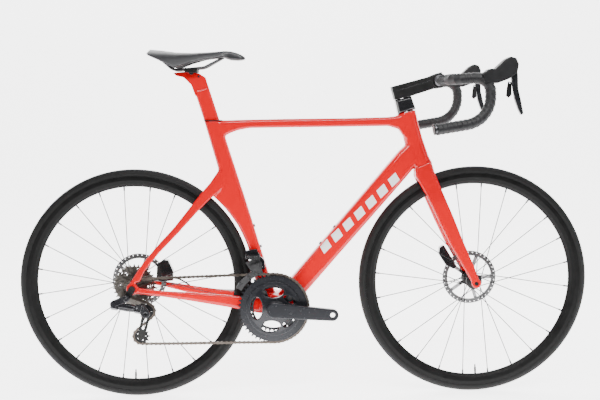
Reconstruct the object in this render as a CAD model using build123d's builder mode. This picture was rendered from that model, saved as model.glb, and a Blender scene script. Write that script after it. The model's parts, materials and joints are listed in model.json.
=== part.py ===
from build123d import *
from math import acos, asin, atan2, cos, degrees, hypot, pi, radians, sin, sqrt, tan
import os

# Road racing bicycle with disc brakes, drop handlebar and electronic two-by-eleven gears.
# Millimetres. +X is forward, -Y is the drive side, +Z is up, and the origin lies on the
# ground midway between the two wheel axles.
os.makedirs("parts", exist_ok=True)

# ---------------------------------------------------------------- frame geometry
stack = 563.5  # bottom bracket up to the head tube's top
reach = 389.2  # bottom bracket forward to the head tube's top
head_angle = 73.0
head_tube_length = 166.3
fork_rake = 45.0
chainstay_length = 408.0
bb_drop = 67.5
wheel_radius = 337.0  # over the tyre
seat_angle = 73.0
seat_axis_offset = -6.7  # seat tube axis behind the bottom bracket, at its height

# ---------------------------------------------------------------- frame tubes
head_top_depth = 53.0
head_top_width = 44.0
head_bottom_depth = 59.8
head_bottom_width = 52.0
steerer_radius = 14.3
bearing_outer = 20.9
bearing_height = 7.0
running_gap = 0.5  # between pieces that turn past each other
fit_gap = 0.3  # between curved pieces of one assembly
tube_wall = 2.0
top_tube_depth = 25.5
top_tube_width = 40.0
top_tube_fall = 29.0  # centre line below the head tube's top, at the head tube
top_tube_rear_height = 528.5  # centre line above the bottom bracket, at the seat tube
down_tube_depth = 61.0
down_tube_width = 50.0
down_tube_joint = 63.0  # above the head tube's lower end
down_tube_offset = 17.2  # ahead of the bottom bracket's axis
seat_tube_width = 36.0
seat_rear = -25.0  # rear face of the seat tube from its axis
seat_front = 22.5
seat_front_top = 31.0
seat_tube_top = 541.5  # above the bottom bracket
wheel_clearance = 8.0
bb_shell_radius = 38.0
bb_shell_width = 84.0
bb_cup_radius = 20.5
bb_cup_depth = 14.0
spindle_radius = 12.0
stay_joint_height = 375.0  # seatstays meet the seat tube, above the bottom bracket
rear_spacing = 142.0
front_spacing = 100.0
dropout_thickness = 8.0
dropout_radius = 17.0
axle_radius = 6.0

# ---------------------------------------------------------------- seatpost and saddle
post_width = 26.0
post_depth = 43.0
post_corner = 11.0
post_insert = 150.0
post_exposed = 92.0
post_travel_down = 50.0
rail_radius = 3.6
rail_spacing = 44.0
saddle_padding = 10.0
saddle_base = 3.0

# ---------------------------------------------------------------- wheels
tyre_section = 13.4
tyre_wall = 1.8
rim_outer = 317.0
rim_depth = 30.5
rim_width = 26.0
rim_wall = 1.9
spoke_count = 24
spoke_radius = 0.95
rotor_radius = 80.0
rotor_thickness = 1.8
rear_rotor_y = 55.7
front_rotor_y = 39.7
rear_spoke_phase = 5.5
front_spoke_phase = 10.3
valve_lean = 7.5  # valve before the lowest point of its wheel, in degrees
pad_gap = 0.6

# ---------------------------------------------------------------- drive train
chain_pitch = 12.7
roller_radius = 3.85
seat_radius = 4.05
plate_radius = 4.1
plate_thickness = 0.7
inner_plate_face = 1.15
outer_plate_face = 1.95
pin_radius = 1.75
bush_bore = 1.9
big_ring_teeth = 50
small_ring_teeth = 34
cassette_teeth = [11, 12, 13, 14, 15, 17, 19, 21, 24, 27, 30]
chosen_sprocket = 2
pulley_teeth = 11
sprocket_thickness = 1.6
sprocket_pitch = 3.69
smallest_sprocket_y = -66.0
big_ring_y = -47.0
small_ring_y = -40.0
crank_length = 170.0
crank_angle = -5.3  # right arm above the horizontal, pointing forward
pedal_hole_radius = 7.14
crank_outer_y = 79.0
crank_thickness = 13.0
guide_pulley_x = 38.0
guide_pulley_drop = 69.0
cage_length = 75.0
cage_angle = -98.5  # tension pulley seen from the guide pulley, before the chain is closed

# ---------------------------------------------------------------- cockpit
bar_reach_x = 91.2  # bar clamp ahead of the head tube's top
bar_rise_z = 88.5
bar_half_width = 207.0
bar_clamp_radius = 15.9
bar_radius = 12.0
tape_radius = 15.5
tape_start = 58.0
drop_depth = 138.0
drop_reach = 101.0
stem_width = 38.0

# ---------------------------------------------------------------- derived places
bb_z = wheel_radius - bb_drop
rear_centre = sqrt(chainstay_length**2 - bb_drop**2)
head_cos = cos(radians(head_angle))
head_sin = sin(radians(head_angle))
seat_cos = cos(radians(seat_angle))
seat_sin = sin(radians(seat_angle))
head_bottom_rise = stack - head_tube_length * head_sin
head_bottom_ahead = reach + head_tube_length * head_cos
fork_length = (head_bottom_rise - bb_drop + fork_rake * head_cos) / head_sin
front_centre = head_bottom_ahead + fork_length * head_cos + fork_rake * head_sin
wheelbase = rear_centre + front_centre
rear_x = -wheelbase / 2
front_x = wheelbase / 2
bb_x = rear_x + rear_centre


def head_point(up, ahead):
    """A point by its distance up the steering axis and ahead of it, from the lower end."""
    x = bb_x + head_bottom_ahead - up * head_cos + ahead * head_sin
    z = bb_z + head_bottom_rise + up * head_sin + ahead * head_cos
    return x, z


def seat_point(up, ahead):
    """A point by its distance up the seat axis and ahead of it, from the bottom bracket."""
    x = bb_x + seat_axis_offset - up * seat_cos + ahead * seat_sin
    z = bb_z + up * seat_sin + ahead * seat_cos
    return x, z


def top_point(x, z):
    """A point measured from the head tube's top."""
    return bb_x + reach + x, bb_z + stack + z


def section_plane(x, y, z, direction):
    """A plane across a tube: local x runs across the bicycle, local y is the depth."""
    return Plane(origin=(x, y, z), x_dir=(0, 1, 0), z_dir=direction)


def finish(piece, name):
    """Label a finished piece and write it."""
    piece.part.label = name
    export_step(piece.part, f"parts/{name}.step")


steer_direction = (-head_cos, 0, head_sin)
seat_direction = (-seat_cos, 0, seat_sin)
rear_hub = (rear_x, wheel_radius)
rear_axis_plane = Plane(origin=(rear_x, 0, wheel_radius), x_dir=(1, 0, 0), z_dir=(0, -1, 0))
front_axis_plane = Plane(origin=(front_x, 0, wheel_radius), x_dir=(1, 0, 0), z_dir=(0, -1, 0))
bb_axis_plane = Plane(origin=(bb_x, 0, bb_z), x_dir=(1, 0, 0), z_dir=(0, -1, 0))
steer_plane = Plane(
    origin=(head_point(0, 0)[0], 0, head_point(0, 0)[1]), x_dir=(0, 1, 0), z_dir=steer_direction
)
seat_plane = Plane(
    origin=(seat_point(0, 0)[0], 0, seat_point(0, 0)[1]), x_dir=(0, 1, 0), z_dir=seat_direction
)

# ---------------------------------------------------------------- head tube
with BuildPart() as head_tube:
    with BuildSketch(steer_plane):
        Ellipse(head_bottom_width / 2, head_bottom_depth / 2)
    with BuildSketch(steer_plane.offset(head_tube_length)):
        Ellipse(head_top_width / 2, head_top_depth / 2)
    loft()
    with BuildSketch(steer_plane):
        Circle(steerer_radius + 2.5)
    extrude(amount=head_tube_length, mode=Mode.SUBTRACT)
    with BuildSketch(steer_plane, steer_plane.offset(head_tube_length - bearing_height)):
        Circle(bearing_outer)
    extrude(amount=bearing_height, mode=Mode.SUBTRACT)
finish(head_tube, "head_tube")

# The wheel tunnel behind the seat tube and the bores are cut from every tube they meet.
with BuildPart() as rear_wheel_space:
    with BuildSketch(rear_axis_plane):
        Circle(wheel_radius + wheel_clearance)
    extrude(amount=60, both=True)

with BuildPart() as post_space:
    with BuildSketch(seat_plane.offset(seat_tube_top / seat_sin - post_insert - post_travel_down - 5)):
        RectangleRounded(post_width + 2 * fit_gap, post_depth + 2 * fit_gap, post_corner + fit_gap)
    extrude(amount=post_insert + post_travel_down + 60)

# ---------------------------------------------------------------- bottom bracket shell
with BuildPart() as bottom_bracket_shell:
    with BuildSketch(bb_axis_plane):
        Circle(bb_shell_radius)
        Circle(bb_cup_radius, mode=Mode.SUBTRACT)
    extrude(amount=bb_shell_width / 2, both=True)

with BuildPart() as shell_solid:
    with BuildSketch(bb_axis_plane):
        Circle(bb_shell_radius)
    extrude(amount=bb_shell_width / 2, both=True)

# ---------------------------------------------------------------- seat tube
seat_top_up = seat_tube_top / seat_sin


def seat_at(height, ahead):
    """A point at a height above the bottom bracket, on a line beside the seat axis."""
    return seat_point((height - ahead * seat_cos) / seat_sin, ahead)


with BuildPart() as seat_tube:
    with BuildSketch(Plane.XZ):
        with BuildLine():
            Polyline(
                seat_at(seat_tube_top, seat_rear),
                seat_at(seat_tube_top, seat_front_top),
                seat_at(seat_tube_top - 35, seat_front_top),
                seat_at(seat_tube_top - 62, seat_front),
                seat_point(110, seat_front),
                seat_point(20, seat_front + 4),
                seat_point(10, -45),
                seat_point(200, -70),
                seat_at(stay_joint_height - 45, -58),
                seat_at(stay_joint_height - 10, -38),
                seat_at(stay_joint_height + 22, seat_rear),
                close=True,
            )
        make_face()
    extrude(amount=seat_tube_width / 2, both=True)
    upright = seat_tube.edges().filter_by(Plane.XZ).filter_by(GeomType.LINE)
    chamfer(upright.filter_by(lambda edge: edge.length > 60), length=seat_tube_width / 5)
    add(rear_wheel_space.part, mode=Mode.SUBTRACT)
    add(shell_solid.part, mode=Mode.SUBTRACT)
    add(post_space.part, mode=Mode.SUBTRACT)
    add(bottom_bracket_shell.part)
finish(seat_tube, "seat_tube")

with BuildPart() as head_solid:
    with BuildSketch(steer_plane):
        Ellipse(head_bottom_width / 2, head_bottom_depth / 2)
    with BuildSketch(steer_plane.offset(head_tube_length)):
        Ellipse(head_top_width / 2, head_top_depth / 2)
    loft()

# ---------------------------------------------------------------- down tube
joint_x, joint_z = head_point(down_tube_joint, 0)
run = hypot(joint_x - bb_x, joint_z - bb_z)
down_angle = atan2(joint_z - bb_z, joint_x - bb_x) - asin(down_tube_offset / run) * -1
down_direction = (cos(down_angle), 0, sin(down_angle))
down_run = sqrt(run**2 - down_tube_offset**2)
down_start_x = joint_x - down_run * cos(down_angle)
down_start_z = joint_z - down_run * sin(down_angle)
with BuildPart() as down_tube:
    for share, depth in ((0.0, down_tube_depth - 6), (0.35, down_tube_depth), (1.0, down_tube_depth)):
        at_x = down_start_x + share * down_run * cos(down_angle)
        at_z = down_start_z + share * down_run * sin(down_angle)
        with BuildSketch(section_plane(at_x, 0, at_z, down_direction)):
            RectangleRounded(down_tube_width, depth, 16)
    loft(ruled=True)
    for share in (0.0, 1.0):
        at_x = down_start_x + share * down_run * cos(down_angle)
        at_z = down_start_z + share * down_run * sin(down_angle)
        with BuildSketch(section_plane(at_x, 0, at_z, down_direction)):
            RectangleRounded(down_tube_width - 2 * tube_wall, down_tube_depth - 8 - 2 * tube_wall, 13)
    loft(mode=Mode.SUBTRACT)
    add(head_solid.part, mode=Mode.SUBTRACT)
    add(shell_solid.part, mode=Mode.SUBTRACT)
    add(seat_tube.part, mode=Mode.SUBTRACT)
finish(down_tube, "down_tube")

# ---------------------------------------------------------------- top tube
top_front = head_point(head_tube_length - top_tube_fall, 0)
top_rear = seat_point(top_tube_rear_height / seat_sin, 0)
top_direction = (top_front[0] - top_rear[0], 0, top_front[1] - top_rear[1])
with BuildPart() as top_tube:
    for share, depth in ((0.0, 22), (0.16, top_tube_depth), (0.9, top_tube_depth), (1.0, 31)):
        at_x = top_rear[0] + share * top_direction[0]
        at_z = top_rear[1] + share * top_direction[2]
        with BuildSketch(section_plane(at_x, 0, at_z, top_direction)):
            RectangleRounded(top_tube_width, depth, 9)
    loft(ruled=True)
    for share in (0.0, 1.0):
        at_x = top_rear[0] + share * top_direction[0]
        at_z = top_rear[1] + share * top_direction[2]
        with BuildSketch(section_plane(at_x, 0, at_z, top_direction)):
            RectangleRounded(top_tube_width - 2 * tube_wall, top_tube_depth - 2 * tube_wall, 7)
    loft(mode=Mode.SUBTRACT)
    add(head_solid.part, mode=Mode.SUBTRACT)
    add(seat_tube.part, mode=Mode.SUBTRACT)
    add(post_space.part, mode=Mode.SUBTRACT)
finish(top_tube, "top_tube")

# ---------------------------------------------------------------- chainstays with dropouts
dropout_inner = rear_spacing / 2
stay_stations = (
    # share of the way from axle to bottom bracket, middle from the mid-plane, width, depth
    (0.03, dropout_inner + 3.5, 7, 18),
    (0.20, 63.8, 11, 17),
    (0.40, 46.0, 16, 25),
    (0.72, 28.0, 15, 38),
    (0.92, 26.0, 18, 46),
)


def along_stay(share):
    """A point on the line from the rear axle to the bottom bracket."""
    return rear_x + share * rear_centre, wheel_radius - 3 - share * bb_drop


with BuildPart() as chainstays:
    for index, (share, middle, width, depth) in enumerate(stay_stations):
        before = stay_stations[max(index - 1, 0)]
        after = stay_stations[min(index + 1, len(stay_stations) - 1)]
        lean = (after[1] - before[1]) / ((after[0] - before[0]) * rear_centre)
        at_x, at_z = along_stay(share)
        with BuildSketch(section_plane(at_x, -middle, at_z, (1, -lean, -bb_drop / rear_centre))):
            RectangleRounded(width, depth, width * 0.42)
    loft()
    with BuildSketch(rear_axis_plane.offset(dropout_inner)):
        with BuildLine():
            Polyline((-14, 3), (-8, -16), (16, -12), (16, 8), (12, 22), (2, 18), close=True)
        make_face()
        Circle(dropout_radius)
    extrude(amount=dropout_thickness)
    with BuildSketch(rear_axis_plane):
        Circle(axle_radius + 0.1)
    extrude(amount=rear_spacing, both=True, mode=Mode.SUBTRACT)
    mirror(about=Plane.XZ)
    add(shell_solid.part, mode=Mode.SUBTRACT)
    add(seat_tube.part, mode=Mode.SUBTRACT)
    add(down_tube.part, mode=Mode.SUBTRACT)

# ---------------------------------------------------------------- seatstays
seatstay_top = seat_point(stay_joint_height, -30)
seatstay_stations = (
    # share of the way from the dropout to the seat tube, middle, width, depth
    (0.0, dropout_inner + 4.0, 8, 14),
    (0.15, 66.0, 10, 16),
    (0.45, 43.0, 11, 17),
    (0.84, 25.0, 11, 19),
    (1.0, 15.0, 12, 22),
)
seatstay_foot = (rear_x + 10, wheel_radius + 24)
with BuildPart() as seatstays:
    for index, (share, middle, width, depth) in enumerate(seatstay_stations):
        before = seatstay_stations[max(index - 1, 0)]
        after = seatstay_stations[min(index + 1, len(seatstay_stations) - 1)]
        rise = seatstay_top[1] - seatstay_foot[1]
        ahead = seatstay_top[0] - seatstay_foot[0]
        lean = (after[1] - before[1]) / (after[0] - before[0])
        at_x = seatstay_foot[0] + share * ahead
        at_z = seatstay_foot[1] + share * rise
        with BuildSketch(section_plane(at_x, -middle, at_z, (ahead, -lean, rise))):
            RectangleRounded(width, depth, width * 0.42)
    loft()
    mirror(about=Plane.XZ)
    add(chainstays.part, mode=Mode.SUBTRACT)
    add(seat_tube.part, mode=Mode.SUBTRACT)
finish(chainstays, "chainstays")
finish(seatstays, "seatstays")

# ---------------------------------------------------------------- bearings of the frame
with BuildPart() as bearings:
    with BuildSketch(steer_plane, steer_plane.offset(head_tube_length - bearing_height)):
        Circle(bearing_outer - 0.05)
        Circle(steerer_radius + 0.1, mode=Mode.SUBTRACT)
    extrude(amount=bearing_height)
    right_cup_plane = bb_axis_plane.offset(bb_shell_width / 2 - bb_cup_depth)
    with BuildSketch(right_cup_plane, bb_axis_plane.offset(-bb_shell_width / 2)):
        Circle(bb_cup_radius - 0.05)
        Circle(spindle_radius + 0.1, mode=Mode.SUBTRACT)
    extrude(amount=bb_cup_depth)
finish(bearings, "bearings")

# ---------------------------------------------------------------- wheels
rim_inner = rim_outer - rim_depth
tyre_centre = wheel_radius - tyre_section
bead_face = rim_width / 2 - rim_wall
wheel_list = (
    # name, axle place, spoke phase, flanges right and left, rotor plane, over-axle width
    ("front", front_x, front_spoke_phase, -24.0, 20.0, front_rotor_y, front_spacing),
    ("rear", rear_x, rear_spoke_phase, -20.0, 33.0, rear_rotor_y, rear_spacing),
)
for name, hub_x, phase, right_flange, left_flange, rotor_y, over_axle in wheel_list:
    section = Plane(origin=(hub_x, 0, wheel_radius), x_dir=(0, 1, 0), z_dir=(1, 0, 0))
    axle = Axis((hub_x, 0, wheel_radius), (0, 1, 0))
    face_plane = Plane(origin=(hub_x, 0, wheel_radius), x_dir=(1, 0, 0), z_dir=(0, -1, 0))
    with BuildPart() as tyre:
        with BuildSketch(section):
            with Locations((0, tyre_centre)):
                Circle(tyre_section)
                Circle(tyre_section - tyre_wall, mode=Mode.SUBTRACT)
            with Locations((0, rim_outer - 15)):
                Rectangle(60, 30, mode=Mode.SUBTRACT)
            for side in (-1, 1):
                with Locations((side * (bead_face - 0.1 - tyre_wall / 2), rim_outer - 2.5)):
                    Rectangle(tyre_wall, 5.4)
        revolve(axis=axle)
    finish(tyre, f"{name}_tyre")
    with BuildPart() as rim:
        with BuildSketch(section):
            with BuildLine():
                Polyline(
                    (2.5, rim_inner + 1.2),
                    (9.0, rim_inner + 9),
                    (rim_width / 2, rim_outer - 11),
                    (rim_width / 2, rim_outer),
                    (bead_face, rim_outer),
                    (bead_face, rim_outer - 6.5),
                    (4, rim_outer - 8.5),
                    (-4, rim_outer - 8.5),
                    (-bead_face, rim_outer - 6.5),
                    (-bead_face, rim_outer),
                    (-rim_width / 2, rim_outer),
                    (-rim_width / 2, rim_outer - 11),
                    (-9.0, rim_inner + 9),
                    (-2.5, rim_inner + 1.2),
                )
                ThreePointArc((-2.5, rim_inner + 1.2), (0, rim_inner), (2.5, rim_inner + 1.2))
            make_face()
            with BuildLine():
                Polyline(
                    (0, rim_inner + 3.2),
                    (7.2, rim_inner + 10),
                    (bead_face - 0.4, rim_outer - 11),
                    (-bead_face + 0.4, rim_outer - 11),
                    (-7.2, rim_inner + 10),
                    close=True,
                )
            make_face(mode=Mode.SUBTRACT)
        revolve(axis=axle)
    finish(rim, f"{name}_rim")
    hole_radius = 19.0
    with BuildPart() as spokes:
        for number in range(spoke_count):
            side_y = left_flange if number % 2 else right_flange
            sense = 1 if (number // 2) % 2 else -1
            rim_angle = radians(phase + number * 360 / spoke_count)
            hub_angle = rim_angle + sense * radians(62)
            start = Vector(
                hub_x + hole_radius * cos(hub_angle),
                side_y + sense * 1.4,
                wheel_radius + hole_radius * sin(hub_angle),
            )
            nipple_y = 1.5 if number % 2 else -1.5
            end = Vector(
                hub_x + (rim_inner + 1.5) * cos(rim_angle),
                nipple_y,
                wheel_radius + (rim_inner + 1.5) * sin(rim_angle),
            )
            along = end - start
            with BuildSketch(Plane(origin=start, z_dir=along)):
                Circle(spoke_radius)
            extrude(amount=along.length)
            with BuildSketch(Plane(origin=end, z_dir=start - end)):
                Circle(2.0)
            extrude(amount=12)
    finish(spokes, f"{name}_spokes")
    end_y = over_axle / 2
    drive_end = -end_y + 1.5 if name == "rear" else right_flange - 8
    core = 10.2 if name == "rear" else 11.0
    with BuildPart() as hub:
        with BuildSketch(section):
            with BuildLine():
                Polyline(
                    (-end_y, axle_radius + 0.1),
                    (-end_y, 9.5),
                    (drive_end if name == "front" else -end_y + 2, 9.5),
                    (right_flange - 8 if name == "front" else right_flange - 5.7, core),
                    (right_flange - 5.5, hole_radius + 1),
                    (right_flange - 3.2, hole_radius + 4),
                    (right_flange + 3.2, hole_radius + 4),
                    (right_flange + 6, 12.5),
                    (left_flange - 6, 12.5),
                    (left_flange - 3.2, hole_radius + 4),
                    (left_flange + 3.2, hole_radius + 4),
                    (left_flange + 6, 17.5),
                    (rotor_y - rotor_thickness / 2 - 0.1, 17.5),
                    (rotor_y - rotor_thickness / 2 - 0.1, 15.0),
                    (rotor_y + 3, 15.0),
                    (rotor_y + 5, 9.5),
                    (end_y, 9.5),
                    (end_y, axle_radius + 0.1),
                    close=True,
                )
            make_face()
        revolve(axis=axle)
    finish(hub, f"{name}_hub")
    with BuildPart() as rotor:
        with BuildSketch(face_plane.offset(-rotor_y)):
            Circle(rotor_radius)
            Circle(rotor_radius - 14, mode=Mode.SUBTRACT)
            with PolarLocations(rotor_radius - 4.5, 36, start_angle=3):
                Circle(1.6, mode=Mode.SUBTRACT)
            with PolarLocations((rotor_radius - 10 + 17) / 2, 5):
                Rectangle(rotor_radius - 10 - 17, 10)
            Circle(24)
            Circle(15.05, mode=Mode.SUBTRACT)
        extrude(amount=rotor_thickness / 2, both=True)
        with BuildSketch(face_plane.offset(-rotor_y - rotor_thickness / 2)):
            Circle(19.5)
            Circle(15.05, mode=Mode.SUBTRACT)
        extrude(amount=-2.2)
    finish(rotor, f"{name}_rotor")
    valve_angle = radians(phase - 90 - valve_lean)
    valve_direction = (-cos(valve_angle), 0, -sin(valve_angle))
    valve_foot = Vector(
        hub_x + (rim_inner + 3) * cos(valve_angle), 0, wheel_radius + (rim_inner + 3) * sin(valve_angle)
    )
    with BuildPart() as valve:
        with BuildSketch(Plane(origin=valve_foot, z_dir=valve_direction)):
            Circle(2.9)
        extrude(amount=22)
        with BuildSketch(Plane(origin=valve_foot, z_dir=valve_direction).offset(22)):
            Circle(1.9)
        extrude(amount=9)
    finish(valve, f"{name}_valve")

# ---------------------------------------------------------------- chain line
def pitch_radius(teeth):
    """Radius of the circle through the chain's pins on a sprocket."""
    return chain_pitch / (2 * sin(pi / teeth))


sprocket_teeth = cassette_teeth[chosen_sprocket]
chain_y = smallest_sprocket_y + chosen_sprocket * sprocket_pitch
guide_centre = (rear_x + guide_pulley_x, wheel_radius - guide_pulley_drop)


def tension_centre(angle):
    """Place of the tension pulley for an angle of the cage."""
    x = guide_centre[0] + cage_length * cos(radians(angle))
    return x, guide_centre[1] + cage_length * sin(radians(angle))


def chain_segments(angle):
    """Arcs and straight runs of the closed chain, each with its length in chain pitches."""
    wheels = (
        ((bb_x, bb_z), big_ring_teeth, 1),
        (tension_centre(angle), pulley_teeth, 1),
        (guide_centre, pulley_teeth, -1),
        (rear_hub, sprocket_teeth, 1),
    )
    tangents = []
    for index, (centre, teeth, turn) in enumerate(wheels):
        next_centre, next_teeth, next_turn = wheels[(index + 1) % 4]
        gap_x = next_centre[0] - centre[0]
        gap_z = next_centre[1] - centre[1]
        shift = turn * pitch_radius(teeth) - next_turn * pitch_radius(next_teeth)
        normal = atan2(gap_z, gap_x) + acos(shift / hypot(gap_x, gap_z))
        tangents.append(normal)
    segments = []
    for index, (centre, teeth, turn) in enumerate(wheels):
        radius = pitch_radius(teeth)
        side = 0 if turn > 0 else pi
        arrive = tangents[index - 1] + side
        leave = tangents[index] + side
        sweep = (arrive - leave) % (2 * pi) if turn > 0 else (leave - arrive) % (2 * pi)
        segments.append(("arc", centre, radius, arrive, -turn, sweep * teeth / (2 * pi), teeth))
        next_centre, next_teeth, next_turn = wheels[(index + 1) % 4]
        start_x = centre[0] + radius * cos(leave)
        start_z = centre[1] + radius * sin(leave)
        next_side = 0 if next_turn > 0 else pi
        next_radius = pitch_radius(next_teeth)
        end_x = next_centre[0] + next_radius * cos(tangents[index] + next_side)
        end_z = next_centre[1] + next_radius * sin(tangents[index] + next_side)
        pitches = hypot(end_x - start_x, end_z - start_z) / chain_pitch
        segments.append(("run", (start_x, start_z), (end_x, end_z), index, 0, pitches, 0))
    return segments


def chain_count(angle):
    """Length of the closed chain in pitches."""
    return sum(segment[5] for segment in chain_segments(angle))


link_count = 2 * round(chain_count(cage_angle) / 2)
low_angle = cage_angle - 40
high_angle = cage_angle + 40
for _ in range(60):
    middle_angle = (low_angle + high_angle) / 2
    if (chain_count(middle_angle) > link_count) == (chain_count(high_angle) > chain_count(low_angle)):
        high_angle = middle_angle
    else:
        low_angle = middle_angle
cage_angle = middle_angle
segments = chain_segments(cage_angle)
lateral_margin = 30.0


def run_y(index, share, length):
    """Sideways place of the chain along a run, where it crosses to another line."""
    ends = {0: (big_ring_y, chain_y), 3: (chain_y, big_ring_y)}
    first, last = ends.get(index, (chain_y, chain_y))
    margin = lateral_margin / length
    inner = min(max((share - margin) / (1 - 2 * margin), 0), 1)
    return first + (last - first) * (3 * inner**2 - 2 * inner**3)


def pin_place(position):
    """A pin's place and its wheel, by its count of pitches along the chain."""
    for number, (kind, first, second, third, turn, pitches, teeth) in enumerate(segments):
        if position < pitches:
            share = position / pitches
            if kind == "arc":
                angle = third + turn * position * 2 * pi / teeth
                flat_y = big_ring_y if number == 0 else chain_y
                return first[0] + second * cos(angle), flat_y, first[1] + second * sin(angle), number, angle
            x = first[0] + (second[0] - first[0]) * share
            z = first[1] + (second[1] - first[1]) * share
            return x, run_y(third, share, pitches * chain_pitch), z, number, None
        position -= pitches
    return pin_place(0)


pins = [pin_place(number + 0.02) for number in range(link_count)]
phases = {}
for x, y, z, number, angle in pins:
    if angle is not None:
        phases.setdefault(number, degrees(angle))


plate_half = chain_pitch / 2
plate_neck = plate_radius * 0.72
waist_x = plate_half - plate_radius * 0.55
waist_y = sqrt(plate_radius**2 - (plate_half - waist_x) ** 2)
with BuildSketch() as link_plate:
    with BuildLine():
        ThreePointArc((-waist_x, waist_y), (0, plate_neck), (waist_x, waist_y))
        ThreePointArc((waist_x, waist_y), (plate_half + plate_radius, 0), (waist_x, -waist_y))
        ThreePointArc((waist_x, -waist_y), (0, -plate_neck), (-waist_x, -waist_y))
        ThreePointArc((-waist_x, -waist_y), (-plate_half - plate_radius, 0), (-waist_x, waist_y))
    make_face()

with BuildPart() as inner_link:
    far_plate_plane = Plane.XY.offset(-inner_plate_face - plate_thickness)
    with BuildSketch(Plane.XY.offset(inner_plate_face), far_plate_plane):
        add(link_plate.sketch)
    extrude(amount=plate_thickness)
    with BuildSketch():
        with Locations((-chain_pitch / 2, 0), (chain_pitch / 2, 0)):
            Circle(roller_radius)
    extrude(amount=inner_plate_face, both=True)
    with BuildSketch():
        with Locations((-chain_pitch / 2, 0), (chain_pitch / 2, 0)):
            Circle(bush_bore)
    extrude(amount=5, both=True, mode=Mode.SUBTRACT)

with BuildPart() as outer_link:
    far_plate_plane = Plane.XY.offset(-outer_plate_face - plate_thickness)
    with BuildSketch(Plane.XY.offset(outer_plate_face), far_plate_plane):
        add(link_plate.sketch)
    extrude(amount=plate_thickness)
    with BuildSketch():
        with Locations((-chain_pitch / 2, 0), (chain_pitch / 2, 0)):
            Circle(pin_radius)
    extrude(amount=outer_plate_face + plate_thickness + 0.1, both=True)


def link_place(number):
    """Where one link lies, between its two pins."""
    first = Vector(*pins[number][:3])
    second = Vector(*pins[(number + 1) % link_count][:3])
    along = (second - first).normalized()
    across = Vector(0, -1, 0) - along * Vector(0, -1, 0).dot(along)
    return Plane(origin=(first + second) / 2, x_dir=along, z_dir=across).location


links = []
for number in range(link_count):
    link = outer_link.part if number % 2 else inner_link.part
    links.append(link_place(number) * link)
with BuildPart() as chain:
    add(Compound(children=links))
finish(chain, "chain")


# ---------------------------------------------------------------- sprockets and chainrings
def toothed_disc(teeth, phase, tip):
    """A disc with a seat for each chain roller; one seat lies at the phase angle."""
    radius = pitch_radius(teeth)
    flank = radians(65)
    with BuildSketch() as disc:
        with BuildLine():
            for tooth in range(teeth):
                seat = radians(phase) + tooth * 2 * pi / teeth
                out = Vector(cos(seat), sin(seat))
                side = Vector(-sin(seat), cos(seat))
                centre = out * radius
                first = centre - out * seat_radius * cos(flank) - side * seat_radius * sin(flank)
                bottom = centre - out * seat_radius
                last = centre - out * seat_radius * cos(flank) + side * seat_radius * sin(flank)
                ThreePointArc(first, bottom, last)
                crest = seat + pi / teeth
                crest_out = Vector(cos(crest), sin(crest)) * (radius * cos(pi / teeth) + tip)
                crest_side = Vector(-sin(crest), cos(crest)) * 1.1
                following = seat + 2 * pi / teeth
                next_out = Vector(cos(following), sin(following))
                next_side = Vector(-sin(following), cos(following))
                next_first = next_out * (radius - seat_radius * cos(flank))
                next_first -= next_side * seat_radius * sin(flank)
                Polyline(last, crest_out - crest_side, crest_out + crest_side, next_first)
        make_face()
    return disc.sketch


freehub_radius = 17.3
freehub_inner = 10.7
boss_radius = 18.3
with BuildPart() as cassette:
    for index, teeth in enumerate(cassette_teeth):
        phase = phases[6] if index == chosen_sprocket else 0
        plane_y = smallest_sprocket_y + index * sprocket_pitch
        root = pitch_radius(teeth) - seat_radius
        with BuildSketch(rear_axis_plane.offset(-plane_y - sprocket_thickness / 2)):
            add(toothed_disc(teeth, phase, 3.4))
            Circle(freehub_radius, mode=Mode.SUBTRACT)
            if teeth >= 19:
                window = (root - boss_radius - 5) / 2
                with PolarLocations(boss_radius + 1.5 + window, 6, start_angle=index * 7):
                    Circle(window, mode=Mode.SUBTRACT)
        extrude(amount=sprocket_thickness)
        with BuildSketch(rear_axis_plane.offset(-plane_y - sprocket_pitch + sprocket_thickness / 2)):
            Circle(boss_radius)
            Circle(freehub_radius, mode=Mode.SUBTRACT)
        extrude(amount=sprocket_pitch - sprocket_thickness)
    last_y = smallest_sprocket_y + len(cassette_teeth) * sprocket_pitch - sprocket_thickness / 2
    with BuildSketch(rear_axis_plane.offset(-last_y)):
        Circle(freehub_radius)
        Circle(freehub_inner, mode=Mode.SUBTRACT)
    extrude(amount=last_y - smallest_sprocket_y + 2.6)
finish(cassette, "cassette")

bolt_circle = 55.0
bolt_angles = (38, 128, 232, 322)
with BuildPart() as outer_chainring:
    with BuildSketch(bb_axis_plane.offset(-big_ring_y - sprocket_thickness / 2)):
        add(toothed_disc(big_ring_teeth, phases[0], 3.6))
        Circle(81, mode=Mode.SUBTRACT)
        for angle in bolt_angles:
            with PolarLocations(67, 1, start_angle=angle + crank_angle):
                Rectangle(36, 20)
            with PolarLocations(bolt_circle, 1, start_angle=angle + crank_angle):
                Circle(10)
                Circle(4.6, mode=Mode.SUBTRACT)
    extrude(amount=sprocket_thickness)
    with BuildSketch(bb_axis_plane.offset(-big_ring_y + sprocket_thickness / 2)):
        Circle(93)
        Circle(81, mode=Mode.SUBTRACT)
        for angle in bolt_angles:
            with PolarLocations(67, 1, start_angle=angle + crank_angle):
                Rectangle(36, 20)
            with PolarLocations(bolt_circle, 1, start_angle=angle + crank_angle):
                Circle(10)
                Circle(6.6, mode=Mode.SUBTRACT)
    extrude(amount=3.0)
finish(outer_chainring, "outer_chainring")

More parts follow.
